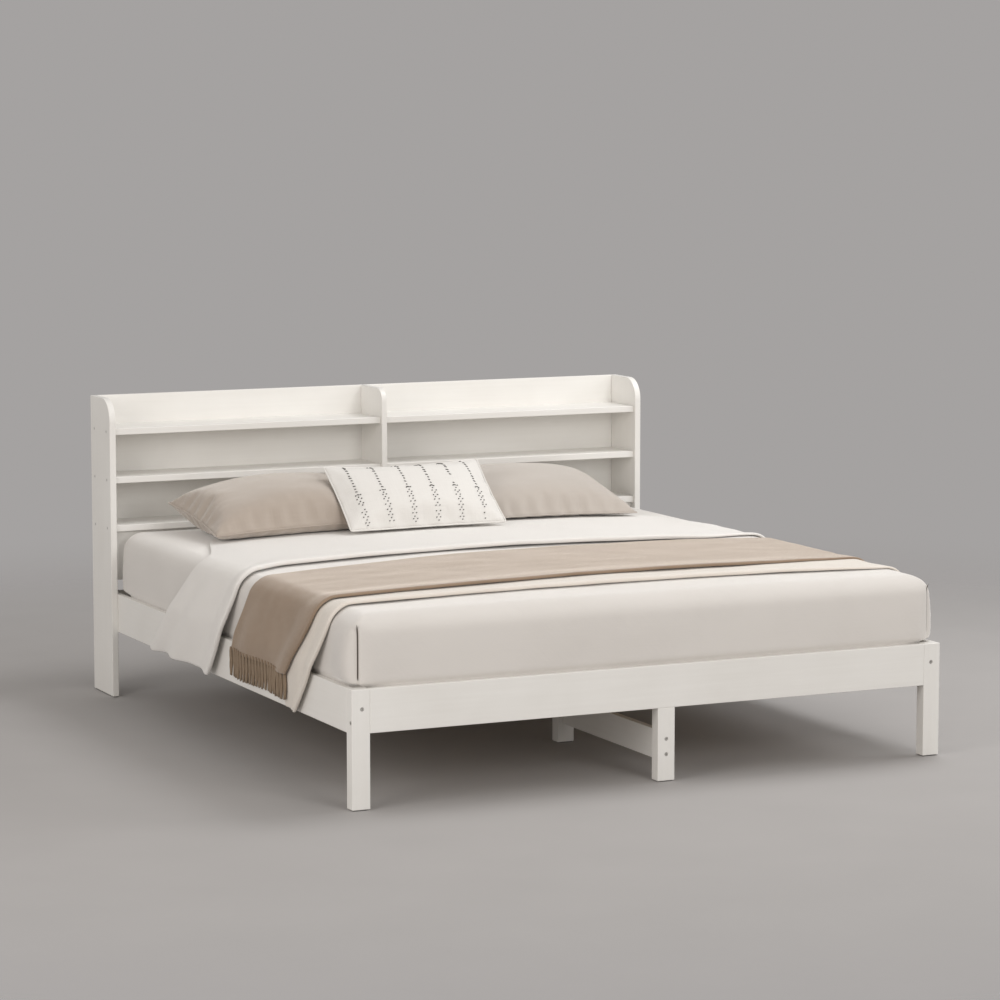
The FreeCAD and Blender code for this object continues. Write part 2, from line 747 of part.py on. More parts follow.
# The mattress, a padded cover round the space that its springs fill


def rounded_ring(width, length, corner, height):
    """A level rectangle with round corners, centred on the Z axis."""
    edges = []
    across, along = width / 2 - corner, length / 2 - corner
    spots = [(across, along), (-across, along), (-across, -along), (across, -along)]
    for number, (x, y) in enumerate(spots):
        centre = FreeCAD.Vector(x, y, height)
        start = QUARTER_TURN_DEGREES * number
        edges.append(Part.makeCircle(corner, centre, AXES["z"], start, start + QUARTER_TURN_DEGREES))
    lines = [
        Part.makeLine(arc.lastVertex().Point, after.firstVertex().Point)
        for arc, after in zip(edges, edges[1:] + edges[:1])
    ]
    return Part.Wire(Part.__sortEdges__(edges + lines))


def clear_corner():
    """The least corner radius that lets the mattress pass the posts, with room to spare."""
    across = max(0, measure("leg_width - rail_thickness - mattress_gap"))
    along = max(0, measure("leg_depth - rail_thickness - mattress_gap"))
    return across + along + (2 * across * along) ** 0.5 + measure("mattress_corner_room")


def mattress_block(wall):
    """The mattress's outer form, or the space inside its cover when it has a wall."""
    corner = clear_corner()
    rings = []
    for up, inset_share in MATTRESS_RING_SHARES:
        inset = wall + inset_share * measure("mattress_edge")
        rings.append(
            rounded_ring(
                measure("mattress_width") - 2 * inset,
                measure("mattress_length") - 2 * inset,
                corner - inset,
                wall + up * (measure("mattress_thickness") - 2 * wall),
            )
        )
    return Part.makeLoft(rings, True)


mattress_base = FreeCAD.Placement()
mattress_base.Base.y = measure(f"{MATTRESS_FOOT} + mattress_length / 2")
mattress_base.Base.z = measure(SLAT_TOP)
feature("mattress", mattress_block(0).cut(mattress_block(measure("mattress_wall"))), mattress_base)

# The bedding: each cloth lies over the mattress, bends down and hangs outside the side rails


def hanging_strip(inner, thickness, ends, height, fold, folds):
    """A cloth's level section: straight where fold is 0, else a row of round folds outward."""
    step = (ends[1] - ends[0]) / (2 * folds)
    lines = []
    for face in (inner, inner + thickness):
        line = []
        for number in range(2 * folds):
            low = ends[0] + number * step
            middle = face + fold / 2
            start = FreeCAD.Vector(middle, low, height)
            end = FreeCAD.Vector(middle, low + step, height)
            swing = fold / 2 if number % 2 else -fold / 2
            peak = FreeCAD.Vector(middle + swing, low + step / 2, height)
            line.append(Part.Arc(start, peak, end).toShape() if fold else Part.makeLine(start, end))
        lines.append(line)
    near, far = lines
    caps = [
        Part.makeLine(near[-1].lastVertex().Point, far[-1].lastVertex().Point),
        Part.makeLine(far[0].firstVertex().Point, near[0].firstVertex().Point),
    ]
    return Part.Wire(Part.__sortEdges__(near + caps + far))


def draped_cloth(label, kind, folds, span, under, beside_rail):
    """A cloth over the bed, `under` above the mattress and `beside_rail` outside the rails.

    `span` gives its start and its width along the bed. It turns down where the mattress's flat
    top ends.
    """
    thickness, hem, fold = (measure(f"{kind}_{part}") for part in ("thickness", "hem", "fold"))
    start, width = (measure(length) for length in span)
    inner = measure(f"{HALF_SPAN} + {beside_rail}")
    bend = inner - measure(f"mattress_width / 2 - {MATTRESS_TOP_SHARE} * mattress_edge")
    top = measure(f"{MATTRESS_TOP} + {under}")
    shoulder = top - bend

    def shoulder_arc(way, radius):
        """A quarter round over one side of the mattress, from its foot up to the top."""
        centre = FreeCAD.Vector(way * (inner - bend), start, shoulder)
        first = centre + AXES["x"] * way * radius
        middle = centre + (AXES["x"] * way + AXES["z"]) * (radius / 2**0.5)
        return Part.Arc(first, middle, centre + AXES["z"] * radius).toShape()

    edges = []
    for radius in (bend, bend + thickness):
        left, right = shoulder_arc(-1, radius), shoulder_arc(1, radius)
        edges += [left, right, Part.makeLine(left.lastVertex().Point, right.lastVertex().Point)]
    for way in (-1, 1):
        near, far = (FreeCAD.Vector(way * reach, start, shoulder) for reach in (inner, inner + thickness))
        edges.append(Part.makeLine(near, far))
    outline = Part.Wire(Part.__sortEdges__(edges))
    saddle = Part.Face(outline).extrude(AXES["y"] * width)

    top_ends = (start, start + width)
    slants = [measure(f"{kind}_{end}_slant") for end in ("start", "end")]
    hem_ends = [end + slant for end, slant in zip(top_ends, slants)]
    drop = Part.makeLoft(
        [
            hanging_strip(inner, thickness, top_ends, shoulder, 0, folds),
            hanging_strip(inner, thickness, hem_ends, hem, fold, folds),
        ],
        True,
        True,
    )
    other_drop = drop.mirror(FreeCAD.Vector(), AXES["x"])
    feature(label, saddle.fuse([drop, other_drop]).removeSplitter())


BLANKET_SPAN = (f"({FOOT} + blanket_start)", "blanket_width")
THROW_SPAN = (f"({FOOT} + throw_start)", "throw_width")
SHEET_START = f"({FOOT} + blanket_start + blanket_width + sheet_gap)"
SHEET_END = f"({HEAD_FRONT} - pillow_head_gap - pillow_depth - sheet_pillow_gap)"
SHEET_SPAN = (SHEET_START, f"{SHEET_END} - {SHEET_START}")
THROW_ABOVE = "(2 * cloth_gap + blanket_thickness)"
THROW_BESIDE = "(2 * cloth_gap + blanket_thickness + blanket_fold)"
draped_cloth("top_sheet", "sheet", SHEET_FOLDS, SHEET_SPAN, "cloth_gap", "cloth_gap")
draped_cloth("blanket", "blanket", BLANKET_FOLDS, BLANKET_SPAN, "cloth_gap", "cloth_gap")
draped_cloth("throw", "throw", THROW_FOLDS, THROW_SPAN, THROW_ABOVE, THROW_BESIDE)

tassels = []
fringe_start = measure(f"{THROW_SPAN[0]} + throw_start_slant")
fringe_length = measure("throw_width + throw_end_slant - throw_start_slant")
tassel_size = [measure(size) for size in ("throw_thickness", "tassel_width", "tassel_length")]
tassel_inside = measure(f"{HALF_SPAN} + {THROW_BESIDE} + throw_fold / 2")
tassel_step = (fringe_length - measure("tassel_width")) / (TASSELS - 1)
tassel_base = measure("throw_hem - tassel_length")
for number in range(TASSELS):
    spot = FreeCAD.Vector(tassel_inside, fringe_start + number * tassel_step, tassel_base)
    tassel = Part.makeBox(*tassel_size, spot)
    tassels += [tassel, tassel.mirror(FreeCAD.Vector(), AXES["x"])]
feature("throw_fringe", Part.makeCompound(tassels))

# Two pillows and a lumbar cushion, each a stuffed cover seated on the mattress


def stuffed_form(kind, section_shares, crown_share, way, wall):
    """A pillow along X with its seam in the XY plane, fuller above the seam than below.

    Its sections run along +X or, with way at -1, along -X.
    """
    length, depth, thickness = (
        measure(f"{kind}_{part}") - 2 * wall for part in ("length", "depth", "thickness")
    )
    sections = []
    for along_share, depth_share, fullness_share in section_shares:
        along = way * along_share * length
        half = depth_share * depth / 2
        crown = crown_share * thickness * fullness_share
        base = (1 - crown_share) * thickness * fullness_share
        rim = [FreeCAD.Vector(along, y, 0) for y in (-half, half)]
        peaks = [FreeCAD.Vector(along, 0, z) for z in (crown, -base)]
        arcs = [
            Part.Arc(rim[0], peaks[0], rim[1]).toShape(),
            Part.Arc(rim[1], peaks[1], rim[0]).toShape(),
        ]
        sections.append(Part.Wire(arcs))
    return Part.makeLoft(sections, True)


def stuffed(label, cover, tilt, yaw, seat_x, seat_y):
    """Seats a cover on the mattress, tilted up at the head and turned.

    `seat_x` and `seat_y` each name the side of its box that is set, and say where.
    """
    turn = FreeCAD.Rotation(AXES["z"], yaw) * FreeCAD.Rotation(AXES["x"], tilt)
    turned = cover.copy()
    turned.Placement = FreeCAD.Placement(FreeCAD.Vector(), turn)
    box = turned.optimalBoundingBox(False, False)
    base = FreeCAD.Vector(
        seat_x[1] - getattr(box, seat_x[0]),
        seat_y[1] - getattr(box, seat_y[0]),
        measure(f"{MATTRESS_TOP} + pillow_seat") - box.ZMin,
    )
    feature(label, cover, FreeCAD.Placement(base, turn))


def stuffed_cover(*form):
    """A stuffed form with an even wall round the space that its filling takes."""
    return stuffed_form(*form, 0).cut(stuffed_form(*form, measure("pillow_wall")))


for side, way in SIDES.items():
    inner_end = "XMin" if way > 0 else "XMax"
    stuffed(
        f"pillow_{side}",
        stuffed_cover("pillow", PILLOW_SECTION_SHARES, PILLOW_CROWN_SHARE, way),
        PILLOW_TILT_DEGREES,
        -way * PILLOW_YAW_DEGREES,
        (inner_end, way * measure(f"pillow_{side}_inner_gap")),
        ("YMax", measure(f"{HEAD_FRONT} - pillow_head_gap")),
    )
stuffed(
    "lumbar_cushion",
    stuffed_cover("cushion", CUSHION_SECTION_SHARES, CUSHION_CROWN_SHARE, 1),
    CUSHION_TILT_DEGREES,
    0,
    ("XMin", -measure("cushion_offset + cushion_length / 2")),
    ("YMin", measure(f"{HEAD_FRONT} - pillow_head_gap - pillow_depth - cushion_lead")),
)

doc.recompute()

faults = [thing.Name for thing in doc.Objects if {"Invalid", "Error"} & set(thing.State)]
for label, node in nodes.items():
    node.Label = label
    if node.Shape.isNull() or not node.Shape.isValid():
        faults.append(label)
if faults:
    raise RuntimeError("these objects failed: " + ", ".join(faults))

os.makedirs("parts", exist_ok=True)
for label, node in nodes.items():
    node.Shape.exportStep(f"parts/{label}.step")
print(f"{len(nodes)} nodes written")
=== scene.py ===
# %% [markdown]
# # A platform bed, made up for the night
#
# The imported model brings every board, bolt and slat of this bed, in metres, with the floor at zero,
# the foot towards -Y and the head towards +Y. What it can't bring is the look of paint, or cloth that
# hangs, folds and swells. This lesson adds those, piece by piece, round the fixed frame.

# %% Load the frame
import json
import math
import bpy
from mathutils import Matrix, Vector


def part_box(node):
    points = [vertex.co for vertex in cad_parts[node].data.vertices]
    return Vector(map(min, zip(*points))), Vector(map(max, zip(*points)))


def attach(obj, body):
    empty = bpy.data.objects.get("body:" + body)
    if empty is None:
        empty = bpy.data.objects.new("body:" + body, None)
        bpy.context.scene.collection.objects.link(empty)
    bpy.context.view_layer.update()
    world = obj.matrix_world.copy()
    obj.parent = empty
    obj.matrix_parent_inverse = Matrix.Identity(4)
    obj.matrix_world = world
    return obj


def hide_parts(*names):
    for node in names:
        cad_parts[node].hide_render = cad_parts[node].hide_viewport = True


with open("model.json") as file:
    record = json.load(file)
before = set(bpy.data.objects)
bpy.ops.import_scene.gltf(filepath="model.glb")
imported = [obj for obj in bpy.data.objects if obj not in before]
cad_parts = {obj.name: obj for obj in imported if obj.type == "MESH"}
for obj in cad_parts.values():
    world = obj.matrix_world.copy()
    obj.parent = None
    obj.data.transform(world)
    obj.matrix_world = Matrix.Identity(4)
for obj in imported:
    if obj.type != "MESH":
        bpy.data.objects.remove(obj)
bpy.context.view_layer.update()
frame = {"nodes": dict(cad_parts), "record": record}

from types import SimpleNamespace

import bpy
import numpy as np
from mathutils import Matrix, Vector, noise
from mathutils.bvhtree import BVHTree

nodes = frame["nodes"]
rng = np.random.default_rng(24)

# %% [markdown]
# ## Small tools
#
# Every soft piece below is a list of points and a list of faces, so one function turns the two into an
# object that rides on a body. A sheet of points in rows and columns is the usual case, and its faces
# follow from the two counts. Cloth also carries its own flat coordinates, in metres, so that a weave
# runs along the threads wherever the cloth goes.


# %% Points and faces into pieces
def make_piece(name, points, faces, finish, body):
    mesh = bpy.data.meshes.new(name)
    mesh.from_pydata([tuple(point) for point in points], [], [tuple(face) for face in faces])
    mesh.shade_smooth()
    mesh.materials.append(finish)
    piece = bpy.data.objects.new(name, mesh)
    bpy.context.scene.collection.objects.link(piece)
    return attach(piece, body)


def grid_faces(rows, columns):
    corners = (0, 1, columns + 1, columns)
    firsts = [row * columns + column for row in range(rows - 1) for column in range(columns - 1)]
    return [[first + corner for corner in corners] for first in firsts]


def lay_threads(piece, flat):
    """Stores each point's place on the flat cloth, in metres, as a UV map."""
    threads = piece.data.uv_layers.new(name="threads")
    for loop in piece.data.loops:
        threads.data[loop.index].uv = flat[loop.vertex_index]


def smoother(piece):
    subdivision = piece.modifiers.new("smoother", "SUBSURF")
    subdivision.levels = 1
    subdivision.render_levels = 1


def thicken(piece, thickness):
    cloth = piece.modifiers.new("thickness", "SOLIDIFY")
    cloth.thickness = thickness
    cloth.offset = 1


# %% Tubes, joined lists and two smooth functions
FIRST_SIDE_WAY = (0.3, 0.5, 0.8)


def tube(path, radius, sides=6, closed=False):
    """Points and faces of a tube along a path, with the radius given once or for each point."""
    path = [Vector(point) for point in path]
    radii = np.broadcast_to(radius, len(path))
    points, side_way = [], Vector(FIRST_SIDE_WAY)
    for number, point in enumerate(path):
        before = path[number - 1] if number or closed else point
        after = path[(number + 1) % len(path)] if number < len(path) - 1 or closed else point
        along = (after - before).normalized()
        side_way = (side_way - along * side_way.dot(along)).normalized()
        up = along.cross(side_way)
        for turn in np.linspace(0, 2 * math.pi, sides, endpoint=False):
            points.append(point + (side_way * math.cos(turn) + up * math.sin(turn)) * float(radii[number]))
    faces = []
    for ring in range(len(path) if closed else len(path) - 1):
        for side in range(sides):
            near = [ring * sides + side, ring * sides + (side + 1) % sides]
            far = [(corner + sides) % len(points) for corner in near]
            faces.append([near[0], near[1], far[1], far[0]])
    if not closed:
        faces += [list(range(sides))[::-1], list(range(len(points) - sides, len(points)))]
    return points, faces


def gather(parts):
    """Joins several lists of points and faces into one."""
    points, faces = [], []
    for some_points, some_faces in parts:
        faces += [[corner + len(points) for corner in face] for face in some_faces]
        points += list(some_points)
    return points, faces


def smooth_step(value, low, high):
    share = np.clip((value - low) / (high - low), 0, 1)
    return share * share * (3 - 2 * share)


def rumple(x, y, z, size, seed):
    """Smooth noise from -1 to 1 that changes over about `size` metres."""
    flat = zip(np.ravel(x), np.ravel(y), np.ravel(z))
    values = [noise.noise((px / size + seed, py / size - seed, pz / size)) for px, py, pz in flat]
    return np.reshape(values, np.shape(x))


print("tools ready")

# %% [markdown]
# ## Paint, wood, steel and felt
#
# A finish is a small tree of nodes in front of Blender's Principled shader. A wire between two sockets
# brings in something that varies, and a plain number goes straight onto its socket. Satin paint on a
# flat board is never one colour: it has a faint cloudiness, and brush marks along the board. Noise that
# is stretched along the board gives both, and also drives a little of the roughness and the bump.


# %% A short way to write nodes
def put(tree, socket, value):
    """Wires another socket to this one, or sets a plain value on it."""
    if isinstance(value, bpy.types.NodeSocket):
        tree.links.new(value, socket)
    else:
        socket.default_value = value


def feed(tree, made, **inputs):
    """Fills a node's sockets by name, with _ for each space."""
    for name, value in inputs.items():
        put(tree, made.inputs[name.replace("_", " ")], value)


def node(tree, kind, settings=None, **inputs):
    made = tree.nodes.new("ShaderNode" + kind)
    for name, value in (settings or {}).items():
        setattr(made, name, value)
    feed(tree, made, **inputs)
    return made


def math_of(tree, operation, *values):
    made = node(tree, "Math", {"operation": operation})
    for socket, value in zip(made.inputs, values):
        put(tree, socket, value)
    return made.outputs["Value"]


def mixed(tree, factor, first, second):
    """The first shader where the factor is 0, and the second where it is 1."""
    made = node(tree, "MixShader", Fac=factor)
    put(tree, made.inputs[1], first)
    put(tree, made.inputs[2], second)
    return made.outputs["Shader"]


def new_finish(name, roughness):
    finish = bpy.data.materials.new(name)
    finish.use_nodes = True
    shader = finish.node_tree.nodes["Principled BSDF"]
    shader.inputs["Roughness"].default_value = roughness
    return finish, finish.node_tree, shader


def two_tone(tree, factor, dark, light, low=0.3, high=0.7):
    ramp = node(tree, "ValToRGB", Fac=factor)
    for element, place, color in zip(ramp.color_ramp.elements, (low, high), (dark, light)):
        element.position = place
        element.color = (*color, 1)
    return ramp.outputs["Color"]


def level(tree, factor, low, high):
    return node(tree, "MapRange", Value=factor, To_Min=low, To_Max=high).outputs["Result"]


def mottle(tree, scale, detail, stretch=(1, 1, 1)):
    """Noise over the object, in metres, with each axis multiplied by its stretch."""
    place = node(tree, "TexCoord").outputs["Object"]
    place = node(tree, "Mapping", Vector=place, Scale=stretch).outputs["Vector"]
    return node(tree, "TexNoise", Vector=place, Scale=scale, Detail=detail).outputs["Fac"]


def roughen(tree, shader, height, distance, strength=1.0):
    bump = node(tree, "Bump", Strength=strength, Distance=distance, Height=height)
    feed(tree, shader, Normal=bump.outputs["Normal"])


print("node tools ready")

# %% Satin paint, bare wood, plated steel and felt
GRAIN_STRETCH = {"x": (3, 90, 90), "y": (90, 3, 90), "z": (90, 90, 3)}
PAINT_DARK, PAINT_LIGHT = (0.81, 0.79, 0.755), (0.87, 0.855, 0.825)
STEEL_DARK, STEEL_LIGHT = (0.5, 0.49, 0.46), (0.66, 0.65, 0.62)
FELT_DARK, FELT_LIGHT = (0.1, 0.095, 0.09), (0.2, 0.19, 0.18)
BRUSH_SHARE = 0.3


def satin_paint(axis):
    finish, tree, shader = new_finish(f"satin_paint_{axis}", roughness=0.42)
    brush = mottle(tree, scale=1.0, detail=3.0, stretch=GRAIN_STRETCH[axis])
    cloud = level(tree, mottle(tree, scale=4.0, detail=4.0), 0.0, 1 - BRUSH_SHARE)
    tone = math_of(tree, "MULTIPLY_ADD", brush, BRUSH_SHARE, cloud)
    color = two_tone(tree, tone, PAINT_DARK, PAINT_LIGHT)
    feed(tree, shader, Base_Color=color, Roughness=level(tree, brush, 0.34, 0.5))
    feed(tree, shader, Coat_Weight=0.08, Coat_Roughness=0.35)
    roughen(tree, shader, brush, distance=0.0004, strength=0.6)
    return finish


def bare_wood(axis, name, dark, light):
    finish, tree, shader = new_finish(f"{name}_{axis}", roughness=0.62)
    rings = mottle(tree, scale=0.45, detail=6.0, stretch=GRAIN_STRETCH[axis])
    pores = mottle(tree, scale=5.0, detail=2.0, stretch=GRAIN_STRETCH[axis])
    color = two_tone(tree, rings, dark, light, low=0.36, high=0.62)
    feed(tree, shader, Base_Color=color, Roughness=level(tree, pores, 0.5, 0.75))
    roughen(tree, shader, pores, distance=0.0003)
    return finish


def plated_steel():
    finish, tree, shader = new_finish("plated_steel", roughness=0.3)
    scuff = mottle(tree, scale=260.0, detail=3.0)
    color = two_tone(tree, scuff, STEEL_DARK, STEEL_LIGHT)
    feed(tree, shader, Base_Color=color, Roughness=level(tree, scuff, 0.25, 0.45), Metallic=1.0)
    return finish


def pressed_felt():
    finish, tree, shader = new_finish("pressed_felt", roughness=0.95)
    fibre = mottle(tree, scale=900.0, detail=4.0)
    feed(tree, shader, Base_Color=two_tone(tree, fibre, FELT_DARK, FELT_LIGHT), Sheen_Weight=0.3)
    roughen(tree, shader, fibre, distance=0.0006)
    return finish


# %% Each board's finish follows the way that it runs
def long_axis(name):
    low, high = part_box(name)
    size = high - low
    return "xyz"[max(range(3), key=lambda axis: size[axis])]


PINE = ("pine", (0.55, 0.4, 0.24), (0.76, 0.61, 0.42))
BEECH = ("beech", (0.5, 0.34, 0.2), (0.66, 0.48, 0.3))
paints = {axis: satin_paint(axis) for axis in "xyz"}
pines = {axis: bare_wood(axis, *PINE) for axis in "xyz"}
hard_finishes = {
    "zinc_steel": plated_steel(),
    "felt": pressed_felt(),
    "dowel_wood": bare_wood("x", *BEECH),
}
slot_of = {row["node"]: row["material_slot"] for row in frame["record"]["subparts"]}
for name, board in nodes.items():
    by_axis = {"painted_wood": paints, "bare_wood": pines}.get(slot_of[name])
    finish = by_axis[long_axis(name)] if by_axis else hard_finishes.get(slot_of[name])
    if finish:
        board.data.materials.clear()
        board.data.materials.append(finish)
print("boards dressed:", sum(slot in ("painted_wood", "bare_wood") for slot in slot_of.values()))

# %% [markdown]
# ## Woven cloth
#
# Cloth is two sets of threads, so its finish is two waves at right angles, laid along the flat
# coordinates that each cloth carries. Seen from across a room the threads are too fine to make out, and
# what shows is slub: longer streaks where the yarn is thicker or paler. The sheen of loose fibres also
# brightens cloth that is seen at a low angle, which is why the throw looks so much paler on the top of
# the bed than at its side.

# %% One recipe for every cloth
WAVE_LENGTH = 0.314
SLUB_STRETCHES = {"X": (12, 420, 1), "Y": (420, 12, 1)}
SLUB_TONE, SLUB_HEIGHT = 0.35, 0.4
CLOUD_LOW, CLOUD_HIGH = 0.5, 0.85
WHITE_FUZZ, CREAM_FUZZ, WARM_FUZZ = (1, 0.99, 0.975), (1, 0.97, 0.93), (1, 0.93, 0.86)


def woven(name, dark, light, pitch, slub=1.0, sheen=0.25, sheen_tint=CREAM_FUZZ, fuzz=0.45):
    finish, tree, shader = new_finish(name, roughness=0.88)
    threads = node(tree, "UVMap", {"uv_map": "threads"}).outputs["UV"]
    scale = WAVE_LENGTH / pitch
    waves, streaks = [], []
    for way, stretch in SLUB_STRETCHES.items():
        wave = node(tree, "TexWave", {"bands_direction": way}, Vector=threads, Scale=scale, Distortion=0.6)
        waves.append(wave.outputs["Fac"])
        drawn_out = node(tree, "Mapping", Vector=threads, Scale=stretch).outputs["Vector"]
        streaks.append(node(tree, "TexNoise", Vector=drawn_out, Scale=1.0, Detail=2.0).outputs["Fac"])
    weave = math_of(tree, "MULTIPLY", *waves)
    slubs = math_of(tree, "ADD", *streaks)
    soft = mottle(tree, scale=5.0, detail=3.0)
    cloud = level(tree, soft, CLOUD_LOW - SLUB_TONE * slub, CLOUD_HIGH - SLUB_TONE * slub)
    tone = math_of(tree, "MULTIPLY_ADD", slubs, SLUB_TONE * slub, cloud)
    height = math_of(tree, "MULTIPLY_ADD", slubs, SLUB_HEIGHT * slub, weave)
    roughen(tree, shader, height, distance=0.0004, strength=0.7)
    feed(tree, shader, Base_Color=two_tone(tree, tone, dark, light), Specular_IOR_Level=0.2)
    feed(tree, shader, Sheen_Weight=sheen, Sheen_Roughness=fuzz, Sheen_Tint=(*sheen_tint, 1))
    return finish


# %% The cloths of this bed
MATTRESS_KNIT = woven(
    "mattress_knit", (0.64, 0.605, 0.57), (0.73, 0.695, 0.66),
    pitch=0.0022, slub=0.5, sheen=1, sheen_tint=WHITE_FUZZ,
)
SHEET_COTTON = woven(
    "sheet_cotton", (0.8, 0.77, 0.735), (0.865, 0.84, 0.81),
    pitch=0.0012, slub=0.5, sheen=0.45, sheen_tint=WHITE_FUZZ,
)
BLANKET_COTTON = woven(
    "blanket_cotton", (0.7, 0.64, 0.575), (0.79, 0.735, 0.67), pitch=0.002, slub=0.8, sheen=0.6
)
THROW_WOOL = woven(
    "throw_wool", (0.208, 0.146, 0.1), (0.325, 0.242, 0.178),
    pitch=0.003, slub=1.2, sheen=1, sheen_tint=WARM_FUZZ, fuzz=0.35,
)
FRINGE_YARN = woven("fringe_yarn", (0.155, 0.108, 0.07), (0.285, 0.213, 0.15), pitch=0.002, sheen=0.3)
PILLOW_TAUPE = woven(
    "pillow_taupe", (0.365, 0.3, 0.255), (0.45, 0.385, 0.33), pitch=0.0014, slub=0.8, sheen=0.9
)
PILLOW_BEIGE = woven(
    "pillow_beige", (0.425, 0.375, 0.33), (0.505, 0.455, 0.41), pitch=0.0014, slub=0.8, sheen=0.9
)
CUSHION_LINEN = woven("cushion_linen", (0.7, 0.675, 0.645), (0.785, 0.765, 0.735), pitch=0.0018)
print("cloth finishes ready")

# %% [markdown]
# ## The mattress
#
# A mattress is a soft block: its top is crowned, its upper edge rolls over, and its cover is pulled
# together at a seam down each corner. A plain cube with a bevel has corners that are far too even. Here a
# grid of lines is laid over the block, close together where it rolls, and each point is placed by a rule:
# how far it is from the edge decides how far it has rolled down.

# %% Lines of the bed that the bedding follows
MATTRESS_LOW, MATTRESS_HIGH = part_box("mattress")
HALF_WIDTH = MATTRESS_HIGH.x
MIDDLE_Y = (MATTRESS_LOW.y + MATTRESS_HIGH.y) / 2
HALF_LENGTH = (MATTRESS_HIGH.y - MATTRESS_LOW.y) / 2
RAIL_LOW, RAIL_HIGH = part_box("side_rail_right")
RAIL_SIDE, RAIL_TOP, RAIL_BASE = RAIL_HIGH.x, RAIL_HIGH.z, RAIL_LOW.z
TOP_CROWN, TOP_DROP = 0.024, 0.004
EDGE_ROLL, BASE_ROLL, HEAD_ROLL = 0.06, 0.015, 0.026
ROLL_LINES, LINE_STEP = 8, 0.035


def bed_top(x, y):
    """Height of the mattress's crowned top."""
    across, along = x / HALF_WIDTH, (y - MIDDLE_Y) / HALF_LENGTH
    return MATTRESS_HIGH.z - TOP_DROP + TOP_CROWN * (1 - across**2) * (1 - along**4)


def rolled_lines(half):
    """Places along one side of the block, closer together where its edges roll over."""
    ends = half - EDGE_ROLL * (1 - np.cos(np.linspace(0, math.pi / 2, ROLL_LINES + 1)))
    count = round(2 * (half - EDGE_ROLL) / LINE_STEP)
    middle = np.linspace(-(half - EDGE_ROLL), half - EDGE_ROLL, count + 1)[1:-1]
    return np.concatenate([-ends, middle, ends[::-1]])


NEAR_RAIL = (0.002, 0.007, 0.011, 0.018)
WALL_START, WALL_LINES = 0.036, 6
WALL_FOOT, WALL_TOP = MATTRESS_LOW.z + BASE_ROLL, MATTRESS_HIGH.z - TOP_DROP - EDGE_ROLL
across_lines, along_lines = rolled_lines(HALF_WIDTH), rolled_lines(HALF_LENGTH)
wall_levels = [WALL_FOOT, *(RAIL_TOP + rise for rise in NEAR_RAIL)]
wall_levels += list(np.linspace(RAIL_TOP + WALL_START, WALL_TOP, WALL_LINES))
print("lines across, along and up:", len(across_lines), len(along_lines), len(wall_levels))

# %% Place the points of the block
PLAN_CORNER_ABOVE, PLAN_CORNER_BELOW, PLAN_CORNER_HEAD = 0.024, 0.09, 0.014
CORNER_CHANGE = (RAIL_TOP + 0.001, RAIL_TOP + 0.011)
CORNER_EASE = 0.06
SWELL_FOOT, SWELL_TOP, SWELL_START = RAIL_TOP + 0.006, MATTRESS_HIGH.z - 0.02, 0.05
SWELL_EVEN, SWELL_BELLY = 0.8, 0.35
POCKET_SWELL, SIDE_SWELL, FRONT_SWELL = 0.018, 0.009, 0.011
POCKET_RISE, POCKET_FALL = (0.0, 0.032), (0.05, 0.18)
SLIT_DEPTH, SLIT_WIDTH, SLIT_TOP, SLIT_FADE = 0.007, 0.014, MATTRESS_HIGH.z - 0.03, 0.02
TOP_DIMPLE, WALL_WRINKLE = 0.0025, 0.002


def rolled_down(inside, roll):
    """How far a cover has come down from the top at a distance inside its edge."""
    lean = min(inside / roll, 1)
    return roll * (1 - math.sqrt(1 - (1 - lean) ** 2))


def corner_rounded(x, y, above):
    """A place in plan, drawn in at an upright corner, which is sharper above the rail than below."""
    corner_above = PLAN_CORNER_HEAD if y > 0 else PLAN_CORNER_ABOVE
    corner = PLAN_CORNER_BELOW + (corner_above - PLAN_CORNER_BELOW) * above
    past = corner - (HALF_WIDTH - abs(x)), corner - (HALF_LENGTH - abs(y))
    if min(past) <= 0:
        return x, y
    pull = max(past) / math.hypot(*past)
    drawn_in = HALF_WIDTH - corner + past[0] * pull, HALF_LENGTH - corner + past[1] * pull
    return math.copysign(drawn_in[0], x), math.copysign(drawn_in[1], y)


def swell_share(height):
    """How much a side swells at a height: not at all at the rail, and most just above it."""
    rise = min(max((height - SWELL_FOOT) / (SWELL_TOP - SWELL_FOOT), 0), 1)
    swell = float(smooth_step(rise, 0.0, SWELL_START)) * math.sqrt(1 - rise)
    return swell * (SWELL_EVEN + SWELL_BELLY * math.sin(math.pi * rise))


